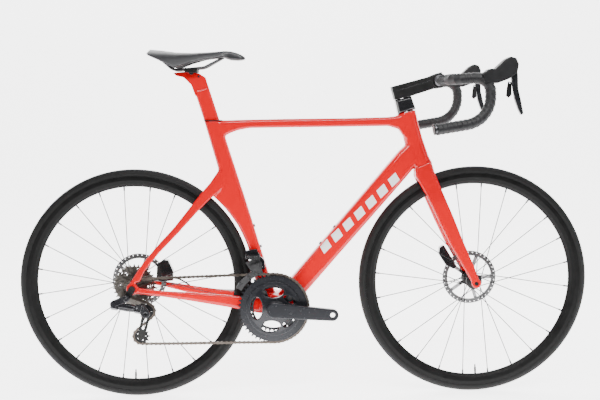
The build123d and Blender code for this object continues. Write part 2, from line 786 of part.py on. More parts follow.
with BuildPart() as inner_chainring:
    with BuildSketch(bb_axis_plane.offset(-small_ring_y - sprocket_thickness / 2)):
        add(toothed_disc(small_ring_teeth, 0, 3.6))
        Circle(bolt_circle + 4, mode=Mode.SUBTRACT)
        for angle in bolt_angles:
            with PolarLocations(bolt_circle, 1, start_angle=angle + crank_angle):
                Circle(9)
                Circle(4.6, mode=Mode.SUBTRACT)
    extrude(amount=sprocket_thickness)
finish(inner_chainring, "inner_chainring")

tab_inner = -small_ring_y + sprocket_thickness / 2
tab_outer = -big_ring_y - sprocket_thickness / 2
arm_inner_y = crank_outer_y - crank_thickness
with BuildPart() as chainring_bolts:
    for angle in bolt_angles:
        with BuildSketch(bb_axis_plane.offset(-small_ring_y - sprocket_thickness / 2)):
            with PolarLocations(bolt_circle, 1, start_angle=angle + crank_angle):
                Circle(4.5)
        extrude(amount=tab_outer + sprocket_thickness - tab_inner + sprocket_thickness)
        with BuildSketch(bb_axis_plane.offset(-big_ring_y + sprocket_thickness / 2)):
            with PolarLocations(bolt_circle, 1, start_angle=angle + crank_angle):
                Circle(6.5)
        extrude(amount=2.4)
        with BuildSketch(bb_axis_plane.offset(-small_ring_y - sprocket_thickness / 2)):
            with PolarLocations(bolt_circle, 1, start_angle=angle + crank_angle):
                Circle(6.5)
        extrude(amount=-1.6)
finish(chainring_bolts, "chainring_bolts")

arm_direction = Vector(cos(radians(crank_angle)), sin(radians(crank_angle)))
spindle_root = 5.0  # depth of the spindle in the right arm's boss
with BuildPart() as crank_arm_right:
    with BuildSketch(bb_axis_plane.offset(arm_inner_y - 6)):
        Circle(22)
        with Locations(arm_direction * crank_length):
            Circle(17)
        make_hull()
    extrude(amount=crank_thickness + 6)
    with BuildSketch(bb_axis_plane.offset(arm_inner_y - 7)):
        with Locations(arm_direction * (crank_length / 2 + 20)):
            Rectangle(crank_length + 60, 60, rotation=crank_angle)
        Circle(30, mode=Mode.SUBTRACT)
    extrude(amount=7, mode=Mode.SUBTRACT)
    with BuildSketch(bb_axis_plane.offset(bb_shell_width / 2 + 0.8)):
        Circle(24)
        for angle in bolt_angles:
            with PolarLocations(bolt_circle / 2 + 6, 1, start_angle=angle + crank_angle):
                Rectangle(bolt_circle - 10, 15)
            with PolarLocations(bolt_circle, 1, start_angle=angle + crank_angle):
                Circle(8)
                Circle(4.6, mode=Mode.SUBTRACT)
    extrude(amount=tab_outer - bb_shell_width / 2 - 0.8)
    with BuildSketch(bb_axis_plane.offset(tab_inner)):
        for angle in bolt_angles:
            with PolarLocations(bolt_circle, 1, start_angle=angle + crank_angle):
                Circle(8)
                Circle(4.6, mode=Mode.SUBTRACT)
    extrude(amount=tab_outer - tab_inner)
    with BuildSketch(bb_axis_plane.offset(bb_shell_width / 2 + 0.8)):
        Circle(21)
    extrude(amount=arm_inner_y - bb_shell_width / 2)
    with BuildSketch(bb_axis_plane.offset(bb_shell_width / 2 + spindle_root)):
        Circle(spindle_radius)
    extrude(amount=-bb_shell_width - spindle_root - 30)
    with BuildSketch(bb_axis_plane.offset(tab_inner)):
        with Locations(arm_direction * crank_length):
            Circle(pedal_hole_radius)
    extrude(amount=60, mode=Mode.SUBTRACT)
finish(crank_arm_right, "crank_arm_right")

with BuildPart() as crank_arm_left:
    with BuildSketch(bb_axis_plane.offset(-arm_inner_y)):
        Circle(22)
        with Locations(arm_direction * -crank_length):
            Circle(17)
        make_hull()
        with Locations(arm_direction * -crank_length):
            Circle(pedal_hole_radius, mode=Mode.SUBTRACT)
    extrude(amount=-crank_thickness)
    with BuildSketch(bb_axis_plane.offset(-bb_shell_width / 2 - 0.8)):
        Circle(21)
    extrude(amount=-(arm_inner_y - bb_shell_width / 2))
    with BuildSketch(bb_axis_plane.offset(-bb_shell_width / 2)):
        Circle(spindle_radius)
    extrude(amount=-30, mode=Mode.SUBTRACT)
finish(crank_arm_left, "crank_arm_left")

# ---------------------------------------------------------------- rear derailleur
hanger_bolt = (-13.7, -23.4)
link_length = 62.0
link_slant = 35.0  # the cage drops as it moves towards the wheel
link_fall = 14.0
link_half = 5.0
link_end = 8.0
shift_to_middle = 13.6  # travel from this sprocket to the middle of the cassette
link_mid = Vector(cos(radians(link_fall)), 0, -sin(radians(link_fall)))
inward = Vector(0, cos(radians(link_slant)), -sin(radians(link_slant)))
pin_axis = link_mid.cross(inward).normalized()
swing = pin_axis.cross(link_mid)
rest_angle = -asin(shift_to_middle / link_length)
link_direction = link_mid * cos(rest_angle) + swing * sin(rest_angle)
bracket_pivot = Vector(rear_x - 44, -88, wheel_radius - 45)
knuckle_pivot = bracket_pivot + link_direction * link_length
outward_limit = degrees(-asin(22.6 / link_length) - rest_angle)
inward_limit = degrees(asin(22.6 / link_length) - rest_angle)

hanger_plane = rear_axis_plane.offset(rear_spacing / 2 + dropout_thickness)
with BuildPart() as derailleur_hanger:
    with BuildSketch(hanger_plane):
        Circle(10)
        with Locations(hanger_bolt):
            Circle(8)
        make_hull()
        Circle(axle_radius + 0.05, mode=Mode.SUBTRACT)
        with Locations(hanger_bolt):
            Circle(4.55, mode=Mode.SUBTRACT)
    extrude(amount=5)
finish(derailleur_hanger, "derailleur_hanger")

with BuildPart() as rd_link:
    with BuildSketch(Plane(origin=bracket_pivot, x_dir=link_direction, z_dir=pin_axis)):
        with Locations((link_length / 2, 0)):
            SlotCenterToCenter(link_length, 2 * link_end)
        with Locations((0, 0), (link_length, 0)):
            Circle(2.9, mode=Mode.SUBTRACT)
    extrude(amount=link_half, both=True)
finish(rd_link, "rd_link")

sweep_steps = [outward_limit + step * (inward_limit - outward_limit) / 6 for step in range(7)]


def link_space(pivot, start, angle):
    """Room for the link round one of its pivots, turned by an angle."""
    turned = start.rotate(Axis((0, 0, 0), pin_axis), angle)
    with BuildPart() as space:
        with BuildSketch(Plane(origin=pivot, x_dir=turned, z_dir=pin_axis)):
            with Locations((link_length / 2, 0)):
                SlotCenterToCenter(link_length, 2 * link_end + 1.4)
        extrude(amount=link_half + 0.5, both=True)
    return space.part


with BuildPart() as rd_bracket:
    with BuildSketch(hanger_plane.offset(5.3)):
        with Locations(hanger_bolt):
            Circle(9.5)
        with Locations((-50, -38)):
            Circle(10)
        make_hull()
    extrude(amount=15)
    with BuildSketch(Plane(origin=bracket_pivot, x_dir=link_direction, z_dir=pin_axis)):
        Circle(link_end)
        with Locations((-7, 0)):
            Rectangle(14, 16)
    extrude(amount=11, both=True)
    for angle in sweep_steps:
        add(link_space(bracket_pivot, link_direction, angle), mode=Mode.SUBTRACT)
    with BuildSketch(Plane(origin=bracket_pivot, x_dir=link_direction, z_dir=pin_axis)):
        Circle(2.5)
    extrude(amount=10, both=True)
    with BuildSketch(hanger_plane.offset(6)):
        with Locations(hanger_bolt):
            Circle(4.5)
    extrude(amount=-5.9)
    with BuildSketch(hanger_plane.offset(20.3)):
        with Locations(hanger_bolt):
            Circle(6.5)
            RegularPolygon(2.9, 6, mode=Mode.SUBTRACT)
    extrude(amount=2.5)
finish(rd_bracket, "rd_bracket")

guide_plane = Plane(origin=(guide_centre[0], 0, guide_centre[1]), x_dir=(1, 0, 0), z_dir=(0, -1, 0))
tension_x, tension_z = tension_centre(cage_angle)
cage_reach = (tension_x - guide_centre[0], tension_z - guide_centre[1])
knuckle_place = (knuckle_pivot.X - guide_centre[0] + 9, knuckle_pivot.Z - guide_centre[1] - 2)
with BuildPart() as rd_knuckle:
    with BuildSketch(guide_plane.offset(-chain_y + 8.2)):
        Circle(12.5)
        with Locations(knuckle_place):
            Circle(11)
        make_hull()
        Circle(4.2, mode=Mode.SUBTRACT)
    extrude(amount=24)
    with BuildSketch(guide_plane.offset(-chain_y + 22)):
        Circle(12.5)
    extrude(amount=6)
    with BuildSketch(Plane(origin=knuckle_pivot, x_dir=link_direction, z_dir=pin_axis)):
        Circle(link_end)
        with Locations((7, 0)):
            Rectangle(14, 16)
    extrude(amount=11, both=True)
    for angle in sweep_steps:
        add(link_space(knuckle_pivot, link_direction * -1, angle), mode=Mode.SUBTRACT)
    with BuildSketch(Plane(origin=knuckle_pivot, x_dir=link_direction, z_dir=pin_axis)):
        Circle(2.5)
    extrude(amount=10, both=True)
finish(rd_knuckle, "rd_knuckle")

cage_plate = 1.6
cage_gap = 5.0
with BuildPart() as rd_cage:
    inner_cage_plane = guide_plane.offset(-chain_y - cage_gap - cage_plate)
    with BuildSketch(guide_plane.offset(-chain_y + cage_gap), inner_cage_plane):
        Circle(12)
        with Locations(cage_reach):
            Circle(10)
        make_hull()
        with Locations((cage_reach[0] / 2, cage_reach[1] / 2)):
            SlotCenterToCenter(30, 9, rotation=cage_angle, mode=Mode.SUBTRACT)
    extrude(amount=cage_plate)
    with BuildSketch(guide_plane.offset(-chain_y - cage_gap)):
        with Locations((0, 0), cage_reach):
            Circle(2.5)
    extrude(amount=2 * cage_gap)
    with BuildSketch(guide_plane.offset(-chain_y + cage_gap)):
        Circle(7)
    extrude(amount=2.6)
    with BuildSketch(guide_plane.offset(-chain_y + cage_gap)):
        Circle(4.0)
    extrude(amount=16)
finish(rd_cage, "rd_cage")
for name, centre, phase in (("guide_pulley", (0, 0), phases[4]), ("tension_pulley", cage_reach, phases[2])):
    with BuildPart() as pulley:
        with BuildSketch(guide_plane.offset(-chain_y)):
            with Locations(centre):
                add(toothed_disc(pulley_teeth, phase, 3.0))
                Circle(2.8, mode=Mode.SUBTRACT)
                with PolarLocations(11, 5):
                    Circle(2.6, mode=Mode.SUBTRACT)
        extrude(amount=0.9, both=True)
        with BuildSketch(guide_plane.offset(-chain_y)):
            with Locations(centre):
                Circle(6)
                Circle(2.8, mode=Mode.SUBTRACT)
        extrude(amount=cage_gap - 0.4, both=True)
    finish(pulley, name)

# ---------------------------------------------------------------- front derailleur
cage_inner_r = 107.5
cage_outer_r = 126.0
cage_outer_y = -big_ring_y + 4.5
cage_inner_y = -big_ring_y - 5.7


def cage_band(inner, outer, first, last):
    """A ring sector round the bottom bracket between two angles."""
    with BuildSketch() as band:
        with BuildLine():
            CenterArc((0, 0), outer, first, last - first)
            CenterArc((0, 0), inner, first, last - first)
            for angle in (radians(first), radians(last)):
                Line((inner * cos(angle), inner * sin(angle)), (outer * cos(angle), outer * sin(angle)))
        make_face()
    return band.sketch


fd_pivot_y = -36.0
fd_pivot_z = 150.0
fd_barrel_plane = Plane(
    origin=(bb_x - 77, fd_pivot_y, bb_z + fd_pivot_z), x_dir=(0, -1, 0), z_dir=(1, 0, 0)
)
with BuildPart() as fd_cage:
    with BuildSketch(bb_axis_plane.offset(cage_outer_y), bb_axis_plane.offset(cage_inner_y)):
        add(cage_band(cage_inner_r, cage_outer_r, 106, 150))
    extrude(amount=1.2)
    with BuildSketch(bb_axis_plane.offset(cage_outer_y)):
        add(cage_band(cage_outer_r - 1, cage_outer_r + 16, 104, 120))
    extrude(amount=1.2)
    with BuildSketch(bb_axis_plane.offset(cage_inner_y)):
        add(cage_band(cage_outer_r - 1, cage_outer_r + 30, 105, 121))
    extrude(amount=1.2)
    with BuildSketch(bb_axis_plane.offset(cage_inner_y)):
        add(cage_band(cage_outer_r + 3, cage_outer_r + 5, 105, 120))
        add(cage_band(cage_inner_r, cage_inner_r + 2, 147, 150))
    extrude(amount=cage_outer_y - cage_inner_y + 1.2)
    with BuildSketch(fd_barrel_plane):
        Circle(4.5)
        with Locations((3.2, 0)):
            Rectangle(6.4, 9)
    extrude(amount=34)
    with BuildSketch(fd_barrel_plane):
        Circle(2.3)
    extrude(amount=34, mode=Mode.SUBTRACT)
finish(fd_cage, "fd_cage")

fd_body_outline = (
    (-82, 142), (-82, 166), (-48, 172), (-38, 150), (-26, 140), (-24, 112), (-34, 112), (-40, 138),
)
with BuildPart() as fd_body:
    with BuildSketch(bb_axis_plane.offset(seat_tube_width / 2 + 0.2)):
        with BuildLine():
            Polyline(*fd_body_outline, close=True)
        make_face()
    extrude(amount=12)
    for ear_x in (-82, -42.5):
        ear_foot = (bb_x + ear_x, 0, bb_z + fd_pivot_z)
        with BuildSketch(Plane(origin=ear_foot, x_dir=(0, 1, 0), z_dir=(1, 0, 0))):
            with BuildLine():
                Polyline((-19, -6), (-36, -5), (-41, 0), (-36, 6), (-19, 8), close=True)
            make_face()
        extrude(amount=4.4)
    with BuildSketch(Plane(origin=(bb_x - 80, fd_pivot_y, bb_z + fd_pivot_z), z_dir=(1, 0, 0))):
        Circle(2.0)
    extrude(amount=40)
    add(seat_tube.part, mode=Mode.SUBTRACT)
finish(fd_body, "fd_body")

# ---------------------------------------------------------------- axles, rear caliper and hose
with BuildPart() as rear_axle:
    with BuildSketch(rear_axis_plane.offset(-rear_spacing / 2 - dropout_thickness - 3)):
        Circle(axle_radius)
    extrude(amount=rear_spacing + 2 * dropout_thickness + 3 + 4.5)
    with BuildSketch(rear_axis_plane.offset(-rear_spacing / 2 - dropout_thickness)):
        Circle(9)
    extrude(amount=-3)
finish(rear_axle, "rear_axle")


def caliper_body(hub_x, rotor_y, outline, inner_reach, outer_reach):
    """A flat-mount brake caliper astride the rotor, with its slot."""
    axis_plane = Plane(origin=(hub_x, 0, wheel_radius), x_dir=(1, 0, 0), z_dir=(0, -1, 0))
    with BuildPart() as body:
        with BuildSketch(axis_plane.offset(-rotor_y - outer_reach)):
            with BuildLine():
                Polyline(*outline, close=True)
            make_face()
        extrude(amount=outer_reach + inner_reach)
        fillet(body.edges().filter_by(Axis.Y), radius=3)
        with BuildSketch(axis_plane.offset(-rotor_y)):
            Circle(rotor_radius + 2)
        extrude(amount=rotor_thickness / 2 + pad_gap, both=True, mode=Mode.SUBTRACT)
    return body.part


rear_outline = ((52, 10), (54, 44), (72, 62), (88, 60), (102, 28), (102, -2), (62, -6))
with BuildPart() as rear_caliper:
    add(caliper_body(rear_x, rear_rotor_y, rear_outline, 10.5, 10.5))
    add(chainstays.part, mode=Mode.SUBTRACT)
finish(rear_caliper, "rear_caliper")


def cord_radii(points):
    """Arc radii of a cord: 0.45 of the shorter run, over the tangent of half the turn."""
    radii = []
    for before, here, after in zip(points, points[1:], points[2:]):
        first = Vector(*here) - Vector(*before)
        second = Vector(*after) - Vector(*here)
        half_turn = radians(first.get_angle(second)) / 2
        radii.append(0.45 * min(first.length, second.length) / tan(half_turn))
    return radii


hose_radius = 2.5
hose_route = (
    (rear_x + 95, rear_rotor_y + 3, wheel_radius + 6),
    (rear_x + 120, rear_rotor_y + 2, wheel_radius + 1),
    (rear_x + 146, 51.0, wheel_radius - 14),
    (rear_x + 168, 47.5, wheel_radius - 31),
)
print("hose radii", cord_radii(hose_route))
with BuildPart() as rear_hose:
    with BuildLine():
        FilletPolyline(*hose_route, radius=cord_radii(hose_route))
    with BuildSketch(Plane(origin=hose_route[0], z_dir=Vector(*hose_route[1]) - Vector(*hose_route[0]))):
        Circle(hose_radius)
    sweep()
    add(chainstays.part, mode=Mode.SUBTRACT)
    add(rear_caliper.part, mode=Mode.SUBTRACT)
finish(rear_hose, "rear_hose")

# ---------------------------------------------------------------- bottle bolts and seat clamp
bolt_plane_list = []
for up in (176.4, 240.5):
    x, z = seat_point(up, seat_front)
    bolt_plane_list.append(Plane(origin=(x, 0, z), z_dir=(seat_sin, 0, seat_cos)))
for along in (229.0, 292.0):
    x = down_start_x + along * cos(down_angle) - down_tube_depth / 2 * sin(down_angle)
    z = down_start_z + along * sin(down_angle) + down_tube_depth / 2 * cos(down_angle)
    bolt_plane_list.append(Plane(origin=(x, 0, z), z_dir=(-sin(down_angle), 0, cos(down_angle))))
with BuildPart() as bottle_bolts:
    with BuildSketch(*bolt_plane_list):
        Circle(4.5)
        RegularPolygon(2.0, 6, mode=Mode.SUBTRACT)
    extrude(amount=3)
    with BuildSketch(*bolt_plane_list):
        Circle(2.5)
    extrude(amount=-9)
finish(bottle_bolts, "bottle_bolts")

clamp_x = (seat_at(seat_tube_top, seat_rear)[0] + seat_at(seat_tube_top, seat_front_top)[0]) / 2
with BuildPart() as seat_clamp:
    with BuildSketch(Plane(origin=(clamp_x, 0, bb_z + seat_tube_top), z_dir=(0, 0, 1))):
        RectangleRounded(seat_front_top - seat_rear - 2, seat_tube_width - 3, 13)
    extrude(amount=2.6)
    add(post_space.part, mode=Mode.SUBTRACT)
finish(seat_clamp, "seat_clamp")

# ---------------------------------------------------------------- seatpost and saddle
head_height = 675.5
head_x, head_z = seat_at(head_height, -12.5)


def head_at(x, z):
    """A point measured from the middle of the seatpost's head."""
    return head_x + x, head_z + z


post_low_up = seat_top_up - post_insert
post_high_up = seat_top_up + post_exposed
with BuildPart() as seatpost:
    with BuildSketch(seat_plane.offset(post_low_up)):
        RectangleRounded(post_width, post_depth, post_corner)
        RectangleRounded(post_width - 5, post_depth - 5, post_corner - 2.5, mode=Mode.SUBTRACT)
    extrude(amount=post_high_up - post_low_up)
    with BuildSketch(Plane.XZ):
        with BuildLine():
            Polyline(
                head_at(8, -62),
                head_at(-3, -31),
                head_at(-24, -10),
                head_at(-45, -5),
                head_at(-54, 3.5),
                head_at(-17, 6.8),
                head_at(20, 2),
                head_at(38.5, -10),
                head_at(41, -19.5),
                head_at(51, -52),
                close=True,
            )
        make_face()
    extrude(amount=11, both=True)
    with BuildSketch(Plane(origin=(head_x, 0, head_z - 6), x_dir=(1, 0, 0), z_dir=(0, -1, 0))):
        Circle(9.05)
    extrude(amount=20, both=True, mode=Mode.SUBTRACT)
finish(seatpost, "seatpost")

rail_half = rail_spacing / 2
rail_route = (
    (head_x - 98, rail_half + 4, head_z + 52),
    (head_x - 50, rail_half, head_z + 10),
    (head_x + 36, rail_half, head_z + 17.5),
    (head_x + 90, rail_half - 14, head_z + 46),
)
with BuildPart() as saddle_rails:
    with BuildLine():
        FilletPolyline(*rail_route, radius=[28, 34])
    with BuildSketch(Plane(origin=rail_route[0], z_dir=Vector(*rail_route[1]) - Vector(*rail_route[0]))):
        Circle(rail_radius)
    sweep()
    mirror(about=Plane.XZ)
finish(saddle_rails, "saddle_rails")

with BuildPart() as saddle_clamp:
    with BuildSketch(Plane(origin=(head_x, 0, head_z - 6), x_dir=(1, 0, 0), z_dir=(0, -1, 0))):
        Circle(9)
    extrude(amount=rail_half + 7, both=True)
    for side in (-1, 1):
        with BuildSketch(Plane(origin=(head_x, side * rail_half, 0), x_dir=(1, 0, 0), z_dir=(0, -1, 0))):
            with Locations((-1, head_z + 8)):
                RectangleRounded(38, 26, 6)
        extrude(amount=7, both=True)
    add(saddle_rails.part, mode=Mode.SUBTRACT)
finish(saddle_clamp, "saddle_clamp")

saddle_stations = (
    # along the saddle from the head, top, half width, lower edge, padding
    (-124, 62, 50, 55, 4),
    (-117, 70, 63, 50, 8),
    (-90, 67.5, 71, 38, saddle_padding),
    (-44, 61.5, 66, 15, saddle_padding),
    (0, 60, 42, 30, saddle_padding),
    (40, 61.5, 27, 40, saddle_padding),
    (100, 65, 20, 47, 8),
    (140, 55, 17, 41, 7),
    (152.5, 46, 9, 39.5, 4),
)


def saddle_layer(above, below, stations):
    """A curved layer of the saddle between two depths under its top."""
    with BuildPart() as layer:
        for x, top, half, low, padding in stations:
            outer = above * padding
            thick = below(padding)
            with BuildSketch(Plane(origin=(head_x + x, 0, head_z), x_dir=(0, 1, 0), z_dir=(1, 0, 0))):
                with BuildLine():
                    ThreePointArc((outer - half, low), (0, top - outer), (half - outer, low))
                    Line((half - outer, low), (half - thick, low))
                    ThreePointArc((half - thick, low), (0, top - thick), (thick - half, low))
                    Line((thick - half, low), (outer - half, low))
                make_face()
        loft(ruled=True)
    return layer.part


with BuildPart() as saddle_cover:
    add(saddle_layer(0, lambda padding: padding, saddle_stations))
    add(saddle_rails.part, mode=Mode.SUBTRACT)
finish(saddle_cover, "saddle_cover")
with BuildPart() as saddle_shell:
    add(saddle_layer(1.05, lambda padding: 1.05 * padding + saddle_base, saddle_stations[1:7]))
    add(saddle_rails.part, mode=Mode.SUBTRACT)
finish(saddle_shell, "saddle_shell")

# ---------------------------------------------------------------- fork
crown_x, crown_z = head_point(0, 0)
fork_run = Vector(front_x - crown_x, 0, wheel_radius - crown_z)
fork_side = Vector(-fork_run.Z, 0, fork_run.X).normalized()
leg_stations = (
    # share of the way from the crown to the axle, ahead, middle, width, depth
    (0.045, -5, 26, 22, 54),
    (0.24, -4, 35, 17, 47),
    (0.45, -4, 41, 15, 46),
    (0.65, -4, 47, 13, 40),
    (0.88, 0, 53, 11, 30),
    (1.0, 0, 55.0, 10, 22),
)
with BuildPart() as fork:
    for index, (share, ahead, middle, width, depth) in enumerate(leg_stations):
        before = leg_stations[max(index - 1, 0)]
        after = leg_stations[min(index + 1, len(leg_stations) - 1)]
        lean = (after[2] - before[2]) / (after[0] - before[0])
        place = Vector(crown_x, -middle, crown_z) + fork_run * share + fork_side * ahead
        with BuildSketch(Plane(origin=place, x_dir=(0, 1, 0), z_dir=fork_run + Vector(0, -lean, 0))):
            RectangleRounded(width, depth, width * 0.42)
    loft()
    with BuildSketch(front_axis_plane.offset(front_spacing / 2)):
        Circle(14)
    extrude(amount=10)
    mirror(about=Plane.XZ)
    with BuildSketch(steer_plane.offset(-0.6)):
        Ellipse(28, 29.5)
    with BuildSketch(steer_plane.offset(-34)):
        RectangleRounded(76, 60, 26)
    loft()
    with BuildSketch(steer_plane.offset(-14)):
        Circle(steerer_radius)
    extrude(amount=head_tube_length + 14 + 58)
    with BuildSketch(front_axis_plane):
        Circle(wheel_radius + wheel_clearance)
    extrude(amount=20, both=True, mode=Mode.SUBTRACT)
    with BuildSketch(front_axis_plane):
        Circle(axle_radius + 0.05)
    extrude(amount=70, both=True, mode=Mode.SUBTRACT)
    with BuildSketch(front_axis_plane):
        Circle(30)
    extrude(amount=front_spacing / 2, both=True, mode=Mode.SUBTRACT)
finish(fork, "fork")

with BuildPart() as front_axle:
    with BuildSketch(front_axis_plane.offset(-front_spacing / 2 - 13)):
        Circle(axle_radius)
    extrude(amount=front_spacing + 23)
    with BuildSketch(front_axis_plane.offset(-front_spacing / 2 - 10)):
        Circle(8.5)
    extrude(amount=-3)
finish(front_axle, "front_axle")

front_outline = ((-79, 100), (-40, 36), (-48, 26), (-72, 38), (-94, 72), (-92, 92))
with BuildPart() as front_caliper:
    add(caliper_body(front_x, front_rotor_y, front_outline, 10.5, 10.5))
    add(fork.part, mode=Mode.SUBTRACT)
finish(front_caliper, "front_caliper")

# ---------------------------------------------------------------- stem and spacer
with BuildPart() as stem_spacer:
    with BuildSketch(Plane.XZ):
        with BuildLine():
            Polyline(
                head_point(head_tube_length + running_gap, -26.5),
                head_point(head_tube_length + running_gap, 26.5),
                top_point(11.8, 45.0),
                top_point(-35.3, 34.5),
                close=True,
            )
        make_face()
    extrude(amount=stem_width / 2 + 1, both=True)
    side_edges = stem_spacer.edges().filter_by(Axis.Y, reverse=True)
    chamfer(side_edges.filter_by(lambda edge: edge.length > 36), length=6)
    with BuildSketch(steer_plane):
        Circle(steerer_radius + 0.05)
    extrude(amount=head_tube_length + 80, mode=Mode.SUBTRACT)
finish(stem_spacer, "stem_spacer")

bar_x, bar_z = top_point(bar_reach_x, bar_rise_z)
stem_slope = radians(14.7)
clamp_plane = Plane(origin=(bar_x, 0, bar_z), x_dir=(0, 1, 0), z_dir=(cos(stem_slope), 0, sin(stem_slope)))
bar_plane = Plane(origin=(bar_x, 0, bar_z), x_dir=(1, 0, 0), z_dir=(0, -1, 0))
with BuildPart() as stem_whole:
    with BuildSketch(Plane.XZ):
        with BuildLine():
            Polyline(
                top_point(-45.6, 71.9),
                top_point(60, 99.5),
                top_point(bar_reach_x - 4, bar_rise_z + 22),
                top_point(bar_reach_x + 8, bar_rise_z - 21),
                top_point(bar_reach_x - 12, bar_rise_z - 22),
                top_point(11.8, 45.4),
                top_point(-35.5, 34.9),
                close=True,
            )
        make_face()
    extrude(amount=stem_width / 2, both=True)
    with BuildSketch(bar_plane):
        Circle(21)
    extrude(amount=22, both=True)
    with BuildSketch(bar_plane):
        Circle(bar_clamp_radius + 0.03)
    extrude(amount=30, both=True, mode=Mode.SUBTRACT)
    with BuildSketch(steer_plane.offset(head_tube_length)):
        Circle(steerer_radius + 0.05)
    extrude(amount=70, mode=Mode.SUBTRACT)
    add(stem_spacer.part, mode=Mode.SUBTRACT)

bolt_spots = [(x, y) for x in (-14, 14) for y in (-18.6, 18.6)]
with BuildPart() as stem_bolts:
    with BuildSketch(clamp_plane.offset(9)):
        with Locations(*bolt_spots):
            Circle(3.6)
            RegularPolygon(1.9, 6, mode=Mode.SUBTRACT)
    extrude(amount=4)
    with BuildSketch(clamp_plane.offset(9)):
        with Locations(*bolt_spots):
            Circle(2.0)
    extrude(amount=-22)
finish(stem_bolts, "stem_bolts")
with BuildPart() as stem:
    add(stem_whole.part)
    with BuildSketch(clamp_plane.offset(-0.6)):
        Rectangle(100, 100)
    extrude(amount=60, mode=Mode.SUBTRACT)
    add(stem_bolts.part, mode=Mode.SUBTRACT)
finish(stem, "stem")
with BuildPart() as stem_faceplate:
    add(stem_whole.part)
    with BuildSketch(clamp_plane.offset(0.6)):
        Rectangle(400, 400)
    extrude(amount=-200, mode=Mode.SUBTRACT)
    with BuildSketch(clamp_plane.offset(9)):
        with Locations(*bolt_spots):
            Circle(3.8)
    extrude(amount=40, mode=Mode.SUBTRACT)
    add(stem_bolts.part, mode=Mode.SUBTRACT)
finish(stem_faceplate, "stem_faceplate")

# ---------------------------------------------------------------- handlebar, tape and end plugs
hook_x = bar_x + drop_reach
bar_route = (
    (bar_x, 0, bar_z),
    (bar_x, -bar_half_width + 10, bar_z),
    (hook_x, -bar_half_width - 1, bar_z + 4.5),
    (hook_x, -bar_half_width - 3, bar_z + 4.5 - drop_depth + 23),
    (hook_x - 148, -bar_half_width - 6, bar_z + 4.5 - drop_depth),
)
bar_radii = [35, 38, 72]
with BuildPart() as bar_space:
    with BuildLine():
        FilletPolyline(*bar_route, radius=bar_radii)
    with BuildSketch(Plane(origin=bar_route[0], z_dir=(0, -1, 0))):
        Circle(bar_radius)
    sweep()
    mirror(about=Plane.XZ)
with BuildPart() as handlebar:
    add(bar_space.part)
    with BuildSketch(bar_plane):
        Circle(bar_clamp_radius)
    extrude(amount=40, both=True)
    clamp_ends = handlebar.edges().filter_by(GeomType.CIRCLE)
    chamfer(clamp_ends.filter_by(lambda edge: edge.radius > bar_radius + 1), length=3)
    with BuildLine(mode=Mode.PRIVATE) as bore_path:
        FilletPolyline(*bar_route, radius=bar_radii)
    with BuildSketch(Plane(origin=bar_route[0], z_dir=(0, -1, 0))):
        Circle(bar_radius - 1.6)
    sweep(path=bore_path.line, mode=Mode.SUBTRACT)
    with BuildSketch(Plane(origin=bar_route[0], z_dir=(0, -1, 0))):
        Circle(bar_radius - 1.6)
    mirrored_path = mirror(bore_path.line, about=Plane.XZ, mode=Mode.PRIVATE)
    sweep(path=mirrored_path, mode=Mode.SUBTRACT)
finish(handlebar, "handlebar")
with BuildPart() as bar_tape:
    with BuildLine():
        FilletPolyline(*bar_route, radius=bar_radii)
    with BuildSketch(Plane(origin=bar_route[0], z_dir=(0, -1, 0))):
        Circle(tape_radius)
        Circle(bar_radius, mode=Mode.SUBTRACT)
    sweep()
    with BuildSketch(bar_plane):
        Circle(30)
    extrude(amount=tape_start, both=True, mode=Mode.SUBTRACT)
    mirror(about=Plane.XZ)
finish(bar_tape, "bar_tape")
end_direction = (Vector(*bar_route[4]) - Vector(*bar_route[3])).normalized()
with BuildPart() as bar_end_plugs:
    with BuildSketch(Plane(origin=bar_route[4], z_dir=end_direction)):
        Circle(tape_radius - 0.5)
    extrude(amount=4)
    with BuildSketch(Plane(origin=bar_route[4], z_dir=end_direction)):
        Circle(bar_radius - 1.7)
    extrude(amount=-18)
    mirror(about=Plane.XZ)
finish(bar_end_plugs, "bar_end_plugs")

# ---------------------------------------------------------------- hoods, levers and paddles
lever_y = bar_half_width + 1.0
lever_pivot = (157, 19)
lever_swing = 18
hood_outline = (
    (78, 15), (108, 23.5), (134, 48), (149, 56), (163, 52), (170.5, 36), (167, 14),
    (145, -2.5), (114, -14), (99, -8), (88, -12), (80, -10),
)
lever_outline = (
    (151, 20), (163, 27), (171, 12), (173, -28), (181, -60), (188, -93), (182.5, -97.5), (174, -82),
    (164, -54), (158, -20),
)
paddle_outline = ((149, -8), (158, -10), (159, -44), (151, -52), (144, -46), (146, -24))
paddle_pivot = (153.5, -12.5)
bar_axis_plane_right = bar_plane.offset(lever_y)


def lever_blade(angle, grow):
    """A brake lever turned about its pivot, with its width grown by a clearance."""
    with BuildPart() as blade:
        with BuildSketch(bar_axis_plane_right):
            with BuildLine():
                Polyline(*lever_outline, close=True)
            make_face()
            with Locations(lever_pivot):
                Circle(11 + grow)
        extrude(amount=6.5 + grow, both=True)
    turn_axis = Axis((bar_x + lever_pivot[0], 0, bar_z + lever_pivot[1]), (0, 1, 0))
    return blade.part.rotate(turn_axis, angle)


